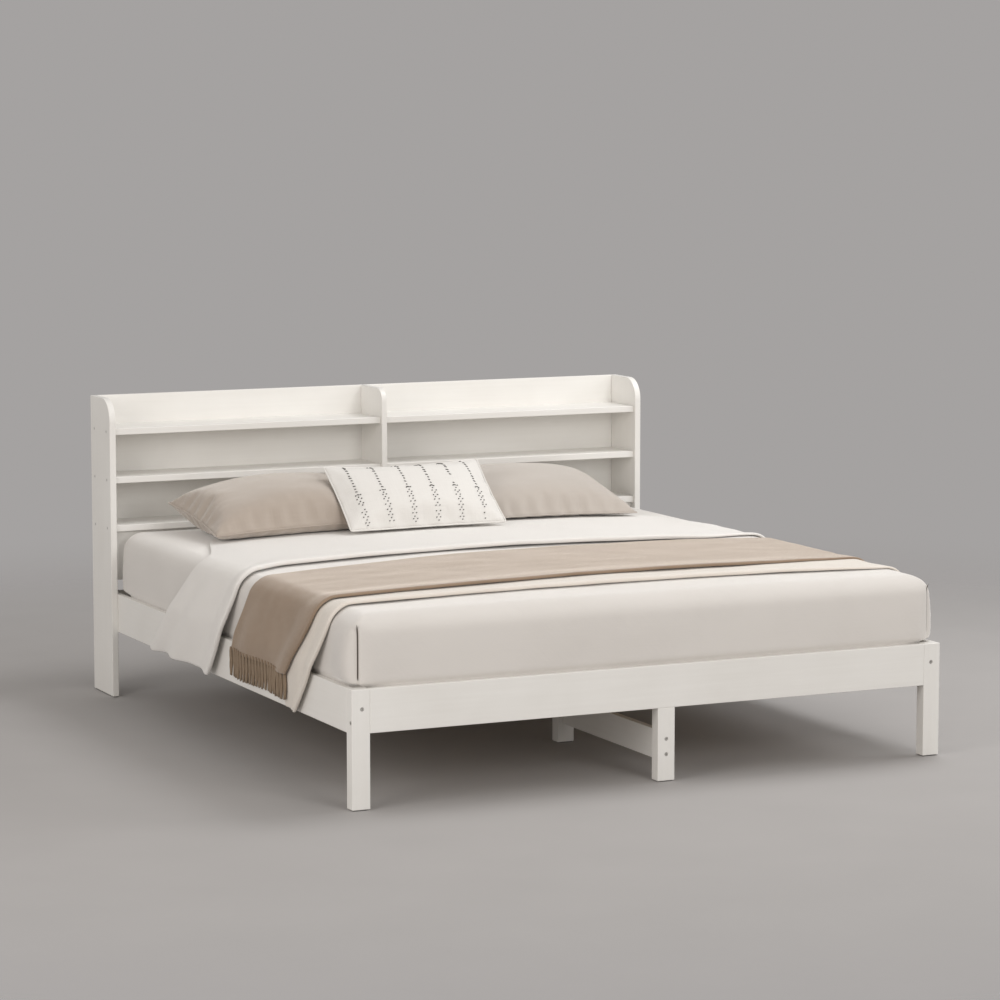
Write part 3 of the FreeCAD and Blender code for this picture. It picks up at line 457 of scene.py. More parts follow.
def mattress_point(x, y, height, kind):
    """A point of the cover, on its top, its base or a side at some height."""
    inside_x, inside_y = HALF_WIDTH - abs(x), HALF_LENGTH - abs(y)
    toward_head = EDGE_ROLL / HEAD_ROLL if y > 0 else 1.0
    inside = max(0.0, min(inside_x, inside_y * toward_head))
    side_x, side_y = math.copysign(1, x), math.copysign(1, y)
    above = float(smooth_step(height, *CORNER_CHANGE))
    x, y = corner_rounded(x, y, above)
    place = Vector((x, y + MIDDLE_Y, height))
    if kind == "base":
        place.z = MATTRESS_LOW.z + rolled_down(inside, BASE_ROLL)
        return place
    if kind == "top":
        place.z = float(bed_top(place.x, place.y)) - rolled_down(inside, EDGE_ROLL)
        dimple = noise.noise((place.x * 4, place.y * 5, 0.3))
        place.z += TOP_DIMPLE * dimple * min(inside / EDGE_ROLL, 1)
    swell = swell_share(place.z)
    near_x, near_y = max(0, 1 - inside_x / EDGE_ROLL), max(0, 1 - inside_y / EDGE_ROLL)
    wrinkle = WALL_WRINKLE * noise.noise((place.x * 5, place.y * 5, place.z * 11))
    if y >= 0:
        place.x += side_x * near_x * swell * (SIDE_SWELL + wrinkle)
        return place
    pocket = float(smooth_step(inside_y, *POCKET_RISE) * (1 - smooth_step(inside_y, *POCKET_FALL)))
    even_x, even_y = (float(smooth_step(depth, 0.0, CORNER_EASE)) for depth in (inside_x, inside_y))
    place.x += side_x * near_x * swell * (POCKET_SWELL * pocket + (SIDE_SWELL + wrinkle) * even_y)
    place.y -= near_y * swell * (FRONT_SWELL + wrinkle) * even_x
    slit = SLIT_DEPTH * float(1 - smooth_step(inside_x + inside_y, 0.0, SLIT_WIDTH))
    slit *= above * float(1 - smooth_step(place.z, SLIT_TOP - SLIT_FADE, SLIT_TOP))
    place -= Vector((side_x, side_y, 0)) * slit / math.sqrt(2)
    return place


# %% Join the points into one closed cover
def block_mesh():
    points, faces, index = [], [], {}
    last_i, last_j, top = len(across_lines) - 1, len(along_lines) - 1, len(wall_levels) - 1

    def corner(i, j, layer):
        if (i, j, layer) not in index:
            index[i, j, layer] = len(points)
            kind = {0: "base", top: "top"}.get(layer, "side")
            place = across_lines[i], along_lines[j], wall_levels[layer]
            points.append(mattress_point(*(float(value) for value in place), kind))
        return index[i, j, layer]

    for layer, order in ((0, 1), (top, -1)):
        for i in range(last_i):
            for j in range(last_j):
                square = (i, j), (i, j + 1), (i + 1, j + 1), (i + 1, j)
                faces.append([corner(*place, layer) for place in square][::order])
    rim = [(i, 0) for i in range(last_i)] + [(last_i, j) for j in range(last_j)]
    rim += [(i, last_j) for i in range(last_i, 0, -1)] + [(0, j) for j in range(last_j, 0, -1)]
    for layer in range(top):
        for here, there in zip(rim, rim[1:] + rim[:1]):
            lower = [corner(*here, layer), corner(*there, layer)]
            faces.append(lower + [corner(*there, layer + 1), corner(*here, layer + 1)])
    return points, faces


mattress_points, mattress_faces = block_mesh()
mattress = make_piece("mattress_cover", mattress_points, mattress_faces, MATTRESS_KNIT, "mattress")
lay_threads(mattress, [(p.x + p.z, p.y + p.z) for p in mattress_points])
smoother(mattress)
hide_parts("mattress")
print("mattress cover of", len(mattress_points), "points")

# %% Corner seams at the foot
# The near-black tubes down each foot corner are painted shadow: a dark colour set in the seam's slit, where
# shade falls. The pale lip beside each one is real geometry in the mattress knit.
PAINTED_SEAM_SHADOW = woven(
    "painted_seam_shadow", (0.07, 0.06, 0.05), (0.13, 0.11, 0.095), pitch=0.001, slub=0.5, sheen=0.0
)
SEAM_POINTS = 12
SEAM_SWELL = 0.0016 * np.sin(np.linspace(0, math.pi, SEAM_POINTS)) ** 0.3
SHADOW_OUT, SHADOW_RADIUS = 0.0018, 0.0008
LIP_OUT, LIP_RADIUS = 0.0016, 0.001
LIP_SHIFTS = {-1: (-0.0042, 0.001, 0), 1: (-0.0042, -0.0016, 0)}
seam_shadow_tubes, seam_lips = [], []
for side, lip_shift in LIP_SHIFTS.items():
    corner_line = []
    for height in np.linspace(RAIL_TOP + 0.004, SLIT_TOP, SEAM_POINTS):
        corner_line.append(mattress_point(side * HALF_WIDTH, -HALF_LENGTH, float(height), "side"))
    out = Vector((side, -1, 0)).normalized()
    # This line carries the dark tube of painted shadow inside the slit.
    seam_shadow_line = [point + out * SHADOW_OUT for point in corner_line]
    lip_line = [point + out * LIP_OUT + Vector(lip_shift) for point in corner_line]
    seam_shadow_tubes.append(tube(seam_shadow_line, SHADOW_RADIUS + SEAM_SWELL))
    seam_lips.append(tube(lip_line, LIP_RADIUS + SEAM_SWELL))
corner_seams = {
    "mattress_corner_slit": (seam_shadow_tubes, PAINTED_SEAM_SHADOW),
    "mattress_corner_lip": (seam_lips, MATTRESS_KNIT),
}
for name, (parts, finish) in corner_seams.items():
    seam_points, seam_faces = gather(parts)
    seam = make_piece(name, seam_points, seam_faces, finish, "mattress")
    lay_threads(seam, [(p.x + p.y, p.z) for p in seam_points])
    smoother(seam)
print("corner seams from", round(RAIL_TOP, 3), "to", round(SLIT_TOP, 3))

# %% [markdown]
# ## Cloth over the bed
#
# Sheet, blanket and throw all do the same: they lie on the crowned top, roll over its edge, lean out to
# clear the side rail and hang. So one function gives the bed's outline at any distance from its middle,
# and a cloth is that outline, a little higher, between its foot edge and its head edge. The edge towards
# the foot is turned under, as a made bed's is, so it shows a soft round fold with a shadow beneath it.

# %% The bed's outline, measured along the cloth
HANG_GAP = 0.004
TURN_END = 1.373
FLAT_RUN = HALF_WIDTH - EDGE_ROLL
LEAN_RUN = (RAIL_SIDE + HANG_GAP - FLAT_RUN - EDGE_ROLL * math.sin(TURN_END)) / math.cos(TURN_END)
SHOULDER_RUN = FLAT_RUN + EDGE_ROLL * 0.6
PLUMB_FROM, PLUMB_TO = 0.1, 0.2


def outline(run, y):
    """Place and outward way of the bed's outline, at a signed distance from the middle along it."""
    side, run = np.sign(run), np.abs(run)
    x = np.minimum(run, FLAT_RUN)
    z = bed_top(x, y)
    turn = np.clip((run - FLAT_RUN) / EDGE_ROLL, 0, TURN_END)
    fall = np.maximum(run - FLAT_RUN - EDGE_ROLL * TURN_END, 0)
    lean = np.minimum(fall, LEAN_RUN)
    plumb = smooth_step(fall, PLUMB_FROM, PLUMB_TO)
    angle = np.where(fall > 0, TURN_END + (math.pi / 2 - TURN_END) * plumb, turn)
    x = x + EDGE_ROLL * np.sin(turn) + lean * math.cos(TURN_END)
    z = z - EDGE_ROLL * (1 - np.cos(turn)) - lean * math.sin(TURN_END) - (fall - lean)
    return side * x, z, side * np.sin(angle), np.cos(angle)


def run_to(height):
    """The distance along the outline at which a cloth hangs down to a height."""
    roll_end = float(bed_top(FLAT_RUN, MIDDLE_Y)) - EDGE_ROLL * (1 - math.cos(TURN_END))
    lean_end = roll_end - LEAN_RUN * math.sin(TURN_END)
    return FLAT_RUN + EDGE_ROLL * TURN_END + LEAN_RUN + lean_end - height


print("the outline rolls over from", round(FLAT_RUN, 3), "and leans out over", round(LEAN_RUN, 3))

# %% One cloth from its edges
FOOT_CURVE, HEAD_CURVE, SWAY_CURVE, DIP_CURVE = 1.5, 1.1, 0.9, 3
SLOW_CREASE, QUICK_CREASE = (0.0016, 0.16), (0.0007, 0.06)
SIDE_SWAY, HEM_DIP = 0.25, 0.15
HANG_CALM = 0.6


class Cloth:
    """A cloth over the bed, given by its edges, its folds and how high it lies on what is below."""

    def __init__(self, foot, head, hem, slants, lift, fold, waves, swing, seed):
        self.foot, self.head = foot, head
        self.end_run = run_to(hem)
        self.slants = slants
        self.lift, self.fold = lift, fold
        self.waves, self.swing, self.seed = waves, swing, seed

    def edges(self, run):
        """The foot edge's and the head edge's place along the bed, and the share of the hang."""
        hang = np.maximum(np.abs(run) - SHOULDER_RUN, 0) / (self.end_run - SHOULDER_RUN)
        foot = self.foot(run) + self.slants[0] * hang**FOOT_CURVE
        head = self.head(run) + self.slants[1] * hang**HEAD_CURVE
        return foot, head, hang

    def place(self, run, share, tuck, height):
        """A point: `share` of the way from foot to head, or `tuck` in from the foot edge."""
        foot, head, hang = self.edges(run)
        y = foot + tuck + share * (head - foot - tuck)
        x, z, out_x, out_z = outline(run, y)
        turns = 2 * math.pi * self.waves * share
        ripple = np.sin(turns + 0.7 * self.seed + 1.6 * np.sin(5 * share + self.seed))
        sway = self.swing * hang**SWAY_CURVE * (0.5 + 0.5 * ripple)
        crease = SLOW_CREASE[0] * rumple(x, y * 2.2, z * 2.0, SLOW_CREASE[1], self.seed)
        crease += QUICK_CREASE[0] * rumple(x * 0.6, y, z, QUICK_CREASE[1], self.seed)
        height = height + sway + crease * (1 - HANG_CALM * hang)
        y = y + SIDE_SWAY * self.swing * hang * np.cos(turns)
        dip = HEM_DIP * self.swing * hang**DIP_CURVE * ripple
        return x + out_x * height, y, z + out_z * height - dip


# %% The mesh of a cloth
CLOTH_COLUMNS = 190
TUCKS, FOLD_LINES = (0.05, 0.03, 0.015), 7
FOLD_EASE = 0.24
RIGHT_SLIM, SLIM_FROM, SLIM_TO = 0.65, 0.45, 0.9
THREAD_RUN = 0.6


def cloth_piece(name, cloth, finish, thickness, rows=54):
    """The mesh of a cloth, whose first rows turn under its foot edge, more flatly at the right."""
    runs = np.linspace(-cloth.end_run, cloth.end_run, CLOTH_COLUMNS)
    low, high = cloth.lift
    radius = cloth.fold / 2
    lines = [(0, tuck, low) for tuck in TUCKS]
    for turn in np.linspace(-math.pi / 2, math.pi / 2, FOLD_LINES):
        lines.append((0, radius - radius * math.cos(turn), low + radius + radius * math.sin(turn)))
    for share in np.linspace(0, 1, rows)[1:]:
        ease = 1 - smooth_step(share, 0.0, FOLD_EASE)
        lines.append((share, radius, high + (low + cloth.fold - high) * ease))
    slim = 1 - RIGHT_SLIM * smooth_step(runs, SLIM_FROM, SLIM_TO)
    points, flat = [], []
    for share, tuck, height in lines:
        x, y, z = cloth.place(runs, share, tuck, high + (height - high) * slim)
        points += [Vector(place) for place in zip(x, y, z)]
        flat += list(zip(runs, np.full(CLOTH_COLUMNS, share * THREAD_RUN + tuck)))
    piece = make_piece(name, points, grid_faces(len(lines), CLOTH_COLUMNS), finish, "mattress")
    lay_threads(piece, flat)
    thicken(piece, thickness)
    smoother(piece)
    return piece


# %% [markdown]
# ### Top sheet, blanket and throw
#
# The white sheet reaches back under the pillows and hangs over the side rails, in a few soft folds. The
# blanket shows only as a cream band at the foot side of the throw, and ends under it. The throw lies over
# both edges of the bed and stops short, where its fringe begins. The edges that show are drawn towards
# the head as they hang.

# %% Top sheet
SHEET_HEM = RAIL_BASE + 0.004
SHEET_FOOT, LEFT_SAG, MIDDLE_SAG, RIGHT_SWING = -0.145, 0.06, 0.02, 0.07
SHEET_HEAD, UNDER_PILLOWS, SHEET_FLARE = 0.2, 0.35, 0.17


def sheet_foot(run):
    """The fold towards the foot sags at the left shoulder, and swings back at the right one."""
    sag = LEFT_SAG * smooth_step(-run, 0.8, 0.95)
    swing = RIGHT_SWING * smooth_step(run, 0.6, 0.92)
    return SHEET_FOOT - sag - MIDDLE_SAG * smooth_step(run, 0.0, 0.45) + swing


def sheet_head(run):
    """The sheet goes in under the pillows, and comes out from there to the sides of the bed."""
    return SHEET_HEAD + UNDER_PILLOWS * smooth_step(SHOULDER_RUN - np.abs(run), 0.0, SHEET_FLARE)


sheet_cloth = Cloth(
    sheet_foot, sheet_head, SHEET_HEM, slants=(0.18, 0.37), lift=(0.0095, 0.004), fold=0.011,
    waves=2.2, swing=0.016, seed=2.0,
)
top_sheet = cloth_piece("top_sheet_cloth", sheet_cloth, SHEET_COTTON, thickness=0.0025)
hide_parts("top_sheet")
print("top sheet, across the bed:", round(2 * sheet_cloth.end_run, 3))

# %% Blanket
BLANKET_HEM = RAIL_BASE + 0.003
BLANKET_FOOT, BLANKET_HEAD = -0.945, -0.5


def straight(place):
    return lambda run: np.full(np.shape(run), place)


blanket_cloth = Cloth(
    straight(BLANKET_FOOT), straight(BLANKET_HEAD), BLANKET_HEM, slants=(0.21, -0.14),
    lift=(0.0075, 0.003), fold=0.007, waves=1.4, swing=0.004, seed=5.0,
)
blanket = cloth_piece("blanket_cloth", blanket_cloth, BLANKET_COTTON, thickness=0.0025, rows=40)
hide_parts("blanket")
print("blanket, across the bed:", round(2 * blanket_cloth.end_run, 3))

# %% Throw
THROW_HEM = 0.33
THROW_FOOT, THROW_HEAD = -0.83, -0.29


def throw_foot(run):
    """The edge towards the foot draws back a little to the right."""
    return THROW_FOOT + 0.02 * smooth_step(run, -0.6, 0.2) + 0.07 * smooth_step(run, 0.4, 0.95)


def throw_head(run):
    """The throw was laid by hand, so it lies a little askew and nearer the sheet at the right."""
    return THROW_HEAD + 0.07 * smooth_step(run, -0.95, -0.1) + 0.04 * smooth_step(run, 0.0, 0.7)


throw_cloth = Cloth(
    throw_foot, throw_head, THROW_HEM, slants=(0.17, 0.105), lift=(0.0125, 0.005), fold=0.004,
    waves=2.3, swing=0.007, seed=7.0,
)
throw = cloth_piece("throw_cloth", throw_cloth, THROW_WOOL, thickness=0.003, rows=44)
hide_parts("throw")
print("throw, across the bed:", round(2 * throw_cloth.end_run, 3))

# %% Fringe
TASSELS, TASSEL_SPAN, TASSEL_LIFT = 20, (0.02, 0.985), 0.008
TASSEL_LENGTH, TASSEL_ROOT = 0.08, 0.012
STRANDS, STRAND_SPREAD, STRAND_STRAY = 3, 0.0044, 0.0012
STRAND_RADII = 0.0036 * np.array([1, 1.05, 1, 1, 1, 1, 0.95, 0.7])
WIND_OUT, WIND_ALONG = 0.0012, 0.0009


def tassel(root, side):
    """A few strands of yarn from one place on the hem, drawn together and hanging."""
    strands = []
    for strand in range(STRANDS):
        spread = (strand - (STRANDS - 1) / 2) * STRAND_SPREAD
        length = TASSEL_LENGTH * rng.uniform(0.95, 1.0)
        stray = rng.normal(0, STRAND_STRAY, 2)
        path = []
        for share in np.linspace(0, 1, len(STRAND_RADII)):
            wind = 7 * share + 2.4 * strand
            path.append((
                root[0] + side * (WIND_OUT * math.cos(wind) + stray[0] * share),
                root[1] + spread * (0.75 + 0.5 * share) + WIND_ALONG * math.sin(wind) + stray[1] * share,
                root[2] + TASSEL_ROOT - (length + TASSEL_ROOT) * share,
            ))
        strands.append(tube(path, STRAND_RADII))
    return gather(strands)


tassels = []
for side in (-1, 1):
    for share in np.linspace(*TASSEL_SPAN, TASSELS):
        run = np.array([side * throw_cloth.end_run])
        x, y, z = throw_cloth.place(run, share, 0.0, TASSEL_LIFT)
        tassels.append(tassel((float(x[0]), float(y[0]), float(z[0])), side))
fringe_points, fringe_faces = gather(tassels)
fringe = make_piece("throw_fringe_yarn", fringe_points, fringe_faces, FRINGE_YARN, "mattress")
lay_threads(fringe, [(p.y, p.z) for p in fringe_points])
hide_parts("throw_fringe")
print("fringe of", 2 * TASSELS, "tassels")

# %% [markdown]
# ## Pillows and the cushion
#
# A pillow is two flat pieces of cloth sewn together round the edge and then filled. Blender's cloth can do
# just that: two grids share their outer points, pressure inside blows them apart, and the seam draws in
# and puckers as it does on the bed. Afterwards the swollen pillow is turned, set down, and pressed
# flat where the bed, or the cushion that leans on it, is in its way.

# %% Sew a cover and blow it up
FIRST_GAP, FIRST_PUFF = 0.004, 0.03
FILL_FRAMES = 30
FILLING = {
    "quality": 6,
    "mass": 0.25,
    "tension_stiffness": 8.0,
    "compression_stiffness": 0.8,
    "shear_stiffness": 1.6,
    "bending_stiffness": 6.0,
    "tension_damping": 12.0,
    "compression_damping": 12.0,
    "shear_damping": 12.0,
    "air_damping": 4,
    "use_pressure": True,
}


def sewn_cover(length, depth, columns, rows):
    """Two flat layers in the XY plane that share their rim, with their faces and flat places."""
    xs, ys = np.linspace(-length / 2, length / 2, columns), np.linspace(-depth / 2, depth / 2, rows)
    points, flat, layers = [], [], []
    for layer in (1, -1):
        index = np.zeros((rows, columns), int)
        for row, y in enumerate(ys):
            for column, x in enumerate(xs):
                on_rim = row in (0, rows - 1) or column in (0, columns - 1)
                if on_rim and layer < 0:
                    index[row, column] = layers[0][row, column]
                    continue
                index[row, column] = len(points)
                puff = (1 - (2 * x / length) ** 2) * (1 - (2 * y / depth) ** 2)
                points.append((x, y, 0 if on_rim else layer * (FIRST_GAP + FIRST_PUFF * puff)))
                flat.append((x, y))
        layers.append(index)
    faces = []
    for layer, index in zip((1, -1), layers):
        for row in range(rows - 1):
            for column in range(columns - 1):
                near, far = index[row, column : column + 2], index[row + 1, column : column + 2]
                face = [near[0], near[1], far[1], far[0]]
                faces.append([int(corner) for corner in face[::layer]])
    top = layers[0]
    rim = [*top[0, :-1], *top[:-1, -1], *top[-1, :0:-1], *top[:0:-1, 0]]
    rim = [int(corner) for corner in rim]
    return SimpleNamespace(points=points, faces=faces, flat=flat, rim=rim, top=top)


def filled(name, cover, pressure):
    """The cover's points after cloth simulation with pressure inside it."""
    mesh = bpy.data.meshes.new(name)
    mesh.from_pydata(cover.points, [], cover.faces)
    piece = bpy.data.objects.new(name, mesh)
    bpy.context.scene.collection.objects.link(piece)
    cloth = piece.modifiers.new("filling", "CLOTH")
    for setting, value in FILLING.items():
        setattr(cloth.settings, setting, value)
    cloth.settings.uniform_pressure_force = pressure
    cloth.settings.effector_weights.gravity = 0
    cloth.collision_settings.use_collision = False
    cloth.point_cache.frame_end = FILL_FRAMES
    for step in range(1, FILL_FRAMES + 1):
        bpy.context.scene.frame_set(step)
    shaped = piece.evaluated_get(bpy.context.evaluated_depsgraph_get()).to_mesh()
    places = np.array([vertex.co for vertex in shaped.vertices])
    bpy.data.objects.remove(piece)
    bpy.context.scene.frame_set(1)
    return places


# %% Set a filled cover down
def seat(places, middle, turns):
    """Turns a filled cover by its roll about Y, tilt about X and yaw about Z, then moves it."""
    tilt, yaw, roll = turns
    turn = Matrix.Identity(3)
    for degrees, axis in ((yaw, "Z"), (tilt, "X"), (roll, "Y")):
        turn = turn @ Matrix.Rotation(math.radians(degrees), 3, axis)
    return places @ np.array(turn).T + np.array(middle)


def press_on_bed(places, clear, give):
    """Flattens what would sink into the bed, easing the points just above it as well."""
    floor = bed_top(places[:, 0], places[:, 1]) + clear
    depth = places[:, 2] - floor
    eased = give * np.exp(np.minimum((depth - give) / give, 0))
    places[:, 2] = floor + np.where(depth > give, depth, eased)
    return places


# %% [markdown]
# ### The lumbar cushion
#
# The cushion is small and firm. It leans back on the pillows, with its lower rim on the sheet. Piping is
# sewn in all round its edge, and its face has columns of stitches in dark yarn: dots in the lower part of
# each column and short slanted bars above them.

# %% Lumbar cushion
CUSHION_FLAT = (0.58, 0.306)
CUSHION_PRESSURE = 1.4
CUSHION_TURNS = (38.7, 0.4, -0.3)
CUSHION_MIDDLE = (-0.089, 0.465, 0.702)
CUSHION_CLEAR, CUSHION_GIVE = 0.0105, 0.006
RIM_SAG_REACH = 0.09


def let_rim_down(rest, flat):
    """Weight straightens the lower rim, which the filling had drawn up between its two corners."""
    across, along = np.array(flat).T
    on_rim = along == along.min()
    rim_middle = rest[on_rim & np.isclose(across, 0)][0, 1]
    corner = rest[on_rim & (across == across.min())][0, 1]
    bow = np.clip(1 - (2 * across / CUSHION_FLAT[0]) ** 2, 0, 1)
    near = np.exp(-(along - along.min()) / RIM_SAG_REACH)
    rest[:, 1] -= (rim_middle - corner) * bow * near
    return rest


cushion_cover = sewn_cover(*CUSHION_FLAT, columns=61, rows=39)
cushion_rest = let_rim_down(filled("cushion_rest", cushion_cover, CUSHION_PRESSURE), cushion_cover.flat)
cushion_places = seat(cushion_rest, CUSHION_MIDDLE, CUSHION_TURNS)
cushion_places = press_on_bed(cushion_places, CUSHION_CLEAR, CUSHION_GIVE)
cushion = make_piece(
    "lumbar_cushion_cover", cushion_places, cushion_cover.faces, CUSHION_LINEN, "lumbar_cushion"
)
lay_threads(cushion, cushion_cover.flat)
smoother(cushion)
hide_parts("lumbar_cushion")
print("cushion box", cushion_places.min(0).round(3), cushion_places.max(0).round(3))

# %% Piping round the cushion
PIPING_RADIUS = 0.0032
piping_line = [cushion_places[corner] for corner in cushion_cover.rim]
piping_points, piping_faces = tube(piping_line, PIPING_RADIUS, sides=8, closed=True)
piping = make_piece("lumbar_cushion_piping", piping_points, piping_faces, CUSHION_LINEN, "lumbar_cushion")
lay_threads(piping, [(p.x, p.y) for p in piping_points])
smoother(piping)
print("piping through", len(piping_line), "points")

# %% How one stitch lies on the cushion
STITCH_LOW, STITCH_ARCH = 0.0004, 0.0009
STITCH_TAPER = np.array([0.6, 1, 1, 1, 0.6])


def cushion_point(across, along):
    """A point on the cushion's upper layer and its outward way, at shares across and along it."""
    grid = cushion_cover.top
    rows, columns = grid.shape
    at_row, at_column = along * (rows - 1), across * (columns - 1)
    row, column = min(int(at_row), rows - 2), min(int(at_column), columns - 2)
    down, right = at_row - row, at_column - column
    a, b = cushion_places[grid[row, column]], cushion_places[grid[row, column + 1]]
    c, d = cushion_places[grid[row + 1, column]], cushion_places[grid[row + 1, column + 1]]
    point = (a * (1 - right) + b * right) * (1 - down) + (c * (1 - right) + d * right) * down
    return Vector(point), Vector(np.cross(b - a, c - a)).normalized()


def stitch(start, end, radius):
    """One short stitch of yarn from one share across and along the cover to another."""
    here, out = cushion_point(*start)
    there, _ = cushion_point(*end)
    path = []
    for share in np.linspace(0, 1, len(STITCH_TAPER)):
        arch = STITCH_LOW + STITCH_ARCH * math.sin(math.pi * share)
        path.append(here.lerp(there, share) + out * arch)
    return tube(path, radius * STITCH_TAPER)


# %% Columns of dots and bars
STITCH_COLUMNS = [0.108, 0.26, 0.412, 0.564, 0.716, 0.868]
DOT_ROWS, BAR_ROWS = np.arange(0.04, 0.43, 0.03), np.arange(0.44, 0.95, 0.042)
DOT_STEP, DOT_REACH, DOT_RISE, DOT_RADIUS = 0.013, 0.0035, 0.003, 0.0019
BAR_LEAN, BAR_RISE, BAR_RADIUS = 0.0062, 0.005, 0.0016
SLIP_ALONG, SLIP_ACROSS, SKIPPED = 0.003, 0.0015, 0.06
stitches = []
for middle in STITCH_COLUMNS:
    for row, along in enumerate(np.concatenate([DOT_ROWS, BAR_ROWS])):
        along += rng.normal(0, SLIP_ALONG)
        across = middle + rng.normal(0, SLIP_ACROSS)
        if rng.random() < SKIPPED:
            continue
        if row >= len(DOT_ROWS):
            lean = BAR_LEAN * (1 + rng.normal(0, 0.2))
            start, end = (across - lean, along + BAR_RISE), (across + lean, along - BAR_RISE)
            stitches.append(stitch(start, end, BAR_RADIUS))
            continue
        for offset in ((-DOT_STEP, DOT_STEP) if row % 2 else (0.0,)):
            dot = across + offset + rng.normal(0, SLIP_ACROSS)
            start, end = (dot - DOT_REACH, along), (dot + DOT_REACH, along + DOT_RISE)
            stitches.append(stitch(start, end, DOT_RADIUS))
STITCH_YARN = woven("stitch_yarn", (0.035, 0.032, 0.03), (0.09, 0.085, 0.08), pitch=0.0012, sheen=0.1)
stitch_points, stitch_faces = gather(stitches)
stitching = make_piece("lumbar_cushion_stitching", stitch_points, stitch_faces, STITCH_YARN, "lumbar_cushion")
lay_threads(stitching, [(p.x, p.y) for p in stitch_points])
print("stitches:", len(stitches))

# %% [markdown]
# ### The pillows
#
# Both pillows come from one filled cover, and the right one is its mirror image. Each is made plumper,
# gathered along its seam, set down and dented where the cushion leans on it. Rays straight up find the
# cushion's lower face, and beside the cushion the wall of the dent slopes up.

# %% Dents and puckers
PILLOW_FLAT = (0.7, 0.48)
PILLOW_CLEAR, PILLOW_GIVE = 0.009, 0.02
DENT_REACH, DENT_STEP, DENT_CLEAR = 0.18, 0.006, 0.005
DENT_SLOPE, DENT_ROUND, DENT_FAR = 0.8, 0.012, -4
GATHER_WIDTH, GATHER_LENGTH, GATHER_FADE, GATHER_DEPTH = 0.017, 0.09, 0.05, 0.0055
SLACK_LENGTH, SLACK_WIDTH, SLACK_DEPTH = 0.12, 0.09, 0.0035
SEAM_EASE = 0.012
cushion_shape = BVHTree.FromPolygons([Vector(place) for place in cushion_places], cushion_cover.faces)


def underside(x, y):
    """Height of the cushion's lower face above a place on the bed, if the cushion covers it."""
    hit = cushion_shape.ray_cast(Vector((x, y, 0)), Vector((0, 0, 1)))[0]
    return None if hit is None else hit.z


def press_under_cushion(places):
    """Dents a pillow under the cushion, and slopes the dent's wall up around the cushion."""
    middle = Vector(CUSHION_MIDDLE[:2])
    for place in places:
        inward = middle - Vector(place[:2])
        step = inward.normalized() * DENT_STEP
        for number in range(round(DENT_REACH / DENT_STEP)):
            height = underside(place[0] + step.x * number, place[1] + step.y * number)
            if height is not None:
                break
        if height is None:
            continue
        limit = height - DENT_CLEAR + DENT_SLOPE * DENT_STEP * number
        gap = (place[2] - limit) / DENT_ROUND
        if gap > DENT_FAR:
            dented = limit - DENT_ROUND * math.log1p(math.exp(-gap))
            place[2] = max(dented, float(bed_top(place[0], place[1])) + PILLOW_CLEAR)
    return places


def puckers(flat, seed):
    """How far the cloth is drawn up into small gathers, which fade away from the sewn edge."""
    depths = []
    for x, y in flat:
        from_end, from_side = PILLOW_FLAT[0] / 2 - abs(x), PILLOW_FLAT[1] / 2 - abs(y)
        inside = min(from_end, from_side)
        along = y if from_end < from_side else x
        gathers = noise.noise((along / GATHER_WIDTH, inside / GATHER_LENGTH, seed))
        gathers *= math.exp(-inside / GATHER_FADE)
        slack = noise.noise((x / SLACK_LENGTH, y / SLACK_WIDTH, seed + 5))
        depths.append(min(inside / SEAM_EASE, 1) * (GATHER_DEPTH * gathers + SLACK_DEPTH * slack))
    return np.array(depths)


# %% Pillows
PILLOW_PRESSURE = 2.0
PILLOW_SEATS = {
    "left": ((-0.486, 0.639, 0.646), (7.6, 0.2, -1.6), 1.27),
    "right": ((0.413, 0.683, 0.642), (11.3, 2.4, 0.7), 1.11),
}
PILLOW_FINISHES = {"left": (PILLOW_TAUPE, "pillow_taupe"), "right": (PILLOW_BEIGE, "pillow_beige")}
PUCKER_SEEDS = {"left": 3.0, "right": 8.0}
PILLOW_SEAM_RADIUS = 0.0026
pillow_cover = sewn_cover(*PILLOW_FLAT, columns=83, rows=57)
pillow_rest = filled("pillow_rest", pillow_cover, PILLOW_PRESSURE)
for side, (middle, turns, plump) in PILLOW_SEATS.items():
    finish, slot = PILLOW_FINISHES[side]
    rest = pillow_rest * np.array((1 if side == "left" else -1, 1, plump))
    rest[:, 2] += np.sign(rest[:, 2]) * puckers(pillow_cover.flat, PUCKER_SEEDS[side])
    places = press_on_bed(seat(rest, middle, turns), PILLOW_CLEAR, PILLOW_GIVE)
    places = press_under_cushion(places)
    faces = pillow_cover.faces if side == "left" else [face[::-1] for face in pillow_cover.faces]
    pillow = make_piece(f"pillow_{side}_case", places, faces, finish, f"pillow_{side}")
    lay_threads(pillow, pillow_cover.flat)
    smoother(pillow)
    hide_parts(f"pillow_{side}")
    seam_line = [places[corner] for corner in pillow_cover.rim]
    seam_points, seam_faces = tube(seam_line, PILLOW_SEAM_RADIUS, closed=True)
    seam = make_piece(f"pillow_{side}_seam", seam_points, seam_faces, finish, f"pillow_{side}")
    lay_threads(seam, [(p.x, p.y) for p in seam_points])
    smoother(seam)
    print(side, "pillow box", places.min(0).round(3), places.max(0).round(3))

# %% [markdown]
# ## Floor, light and camera
#
# A pale floor that fades into a background of the same tone leaves nothing to look at but the bed. The
# light is a studio's: a soft lamp overhead, one at the foot, one at the right and a warm one at the left,
# with an even fill from all round. The camera is a long lens far away, a little above the bed and well to
# its left.

# %% Floor that fades into the background
FLOOR_TONE, SPECKLE_TONE = (0.44, 0.425, 0.419), 0.97
FLOOR_REACH = 16.0
FADE_FROM, FADE_TO = 1.8, FLOOR_REACH * 0.32


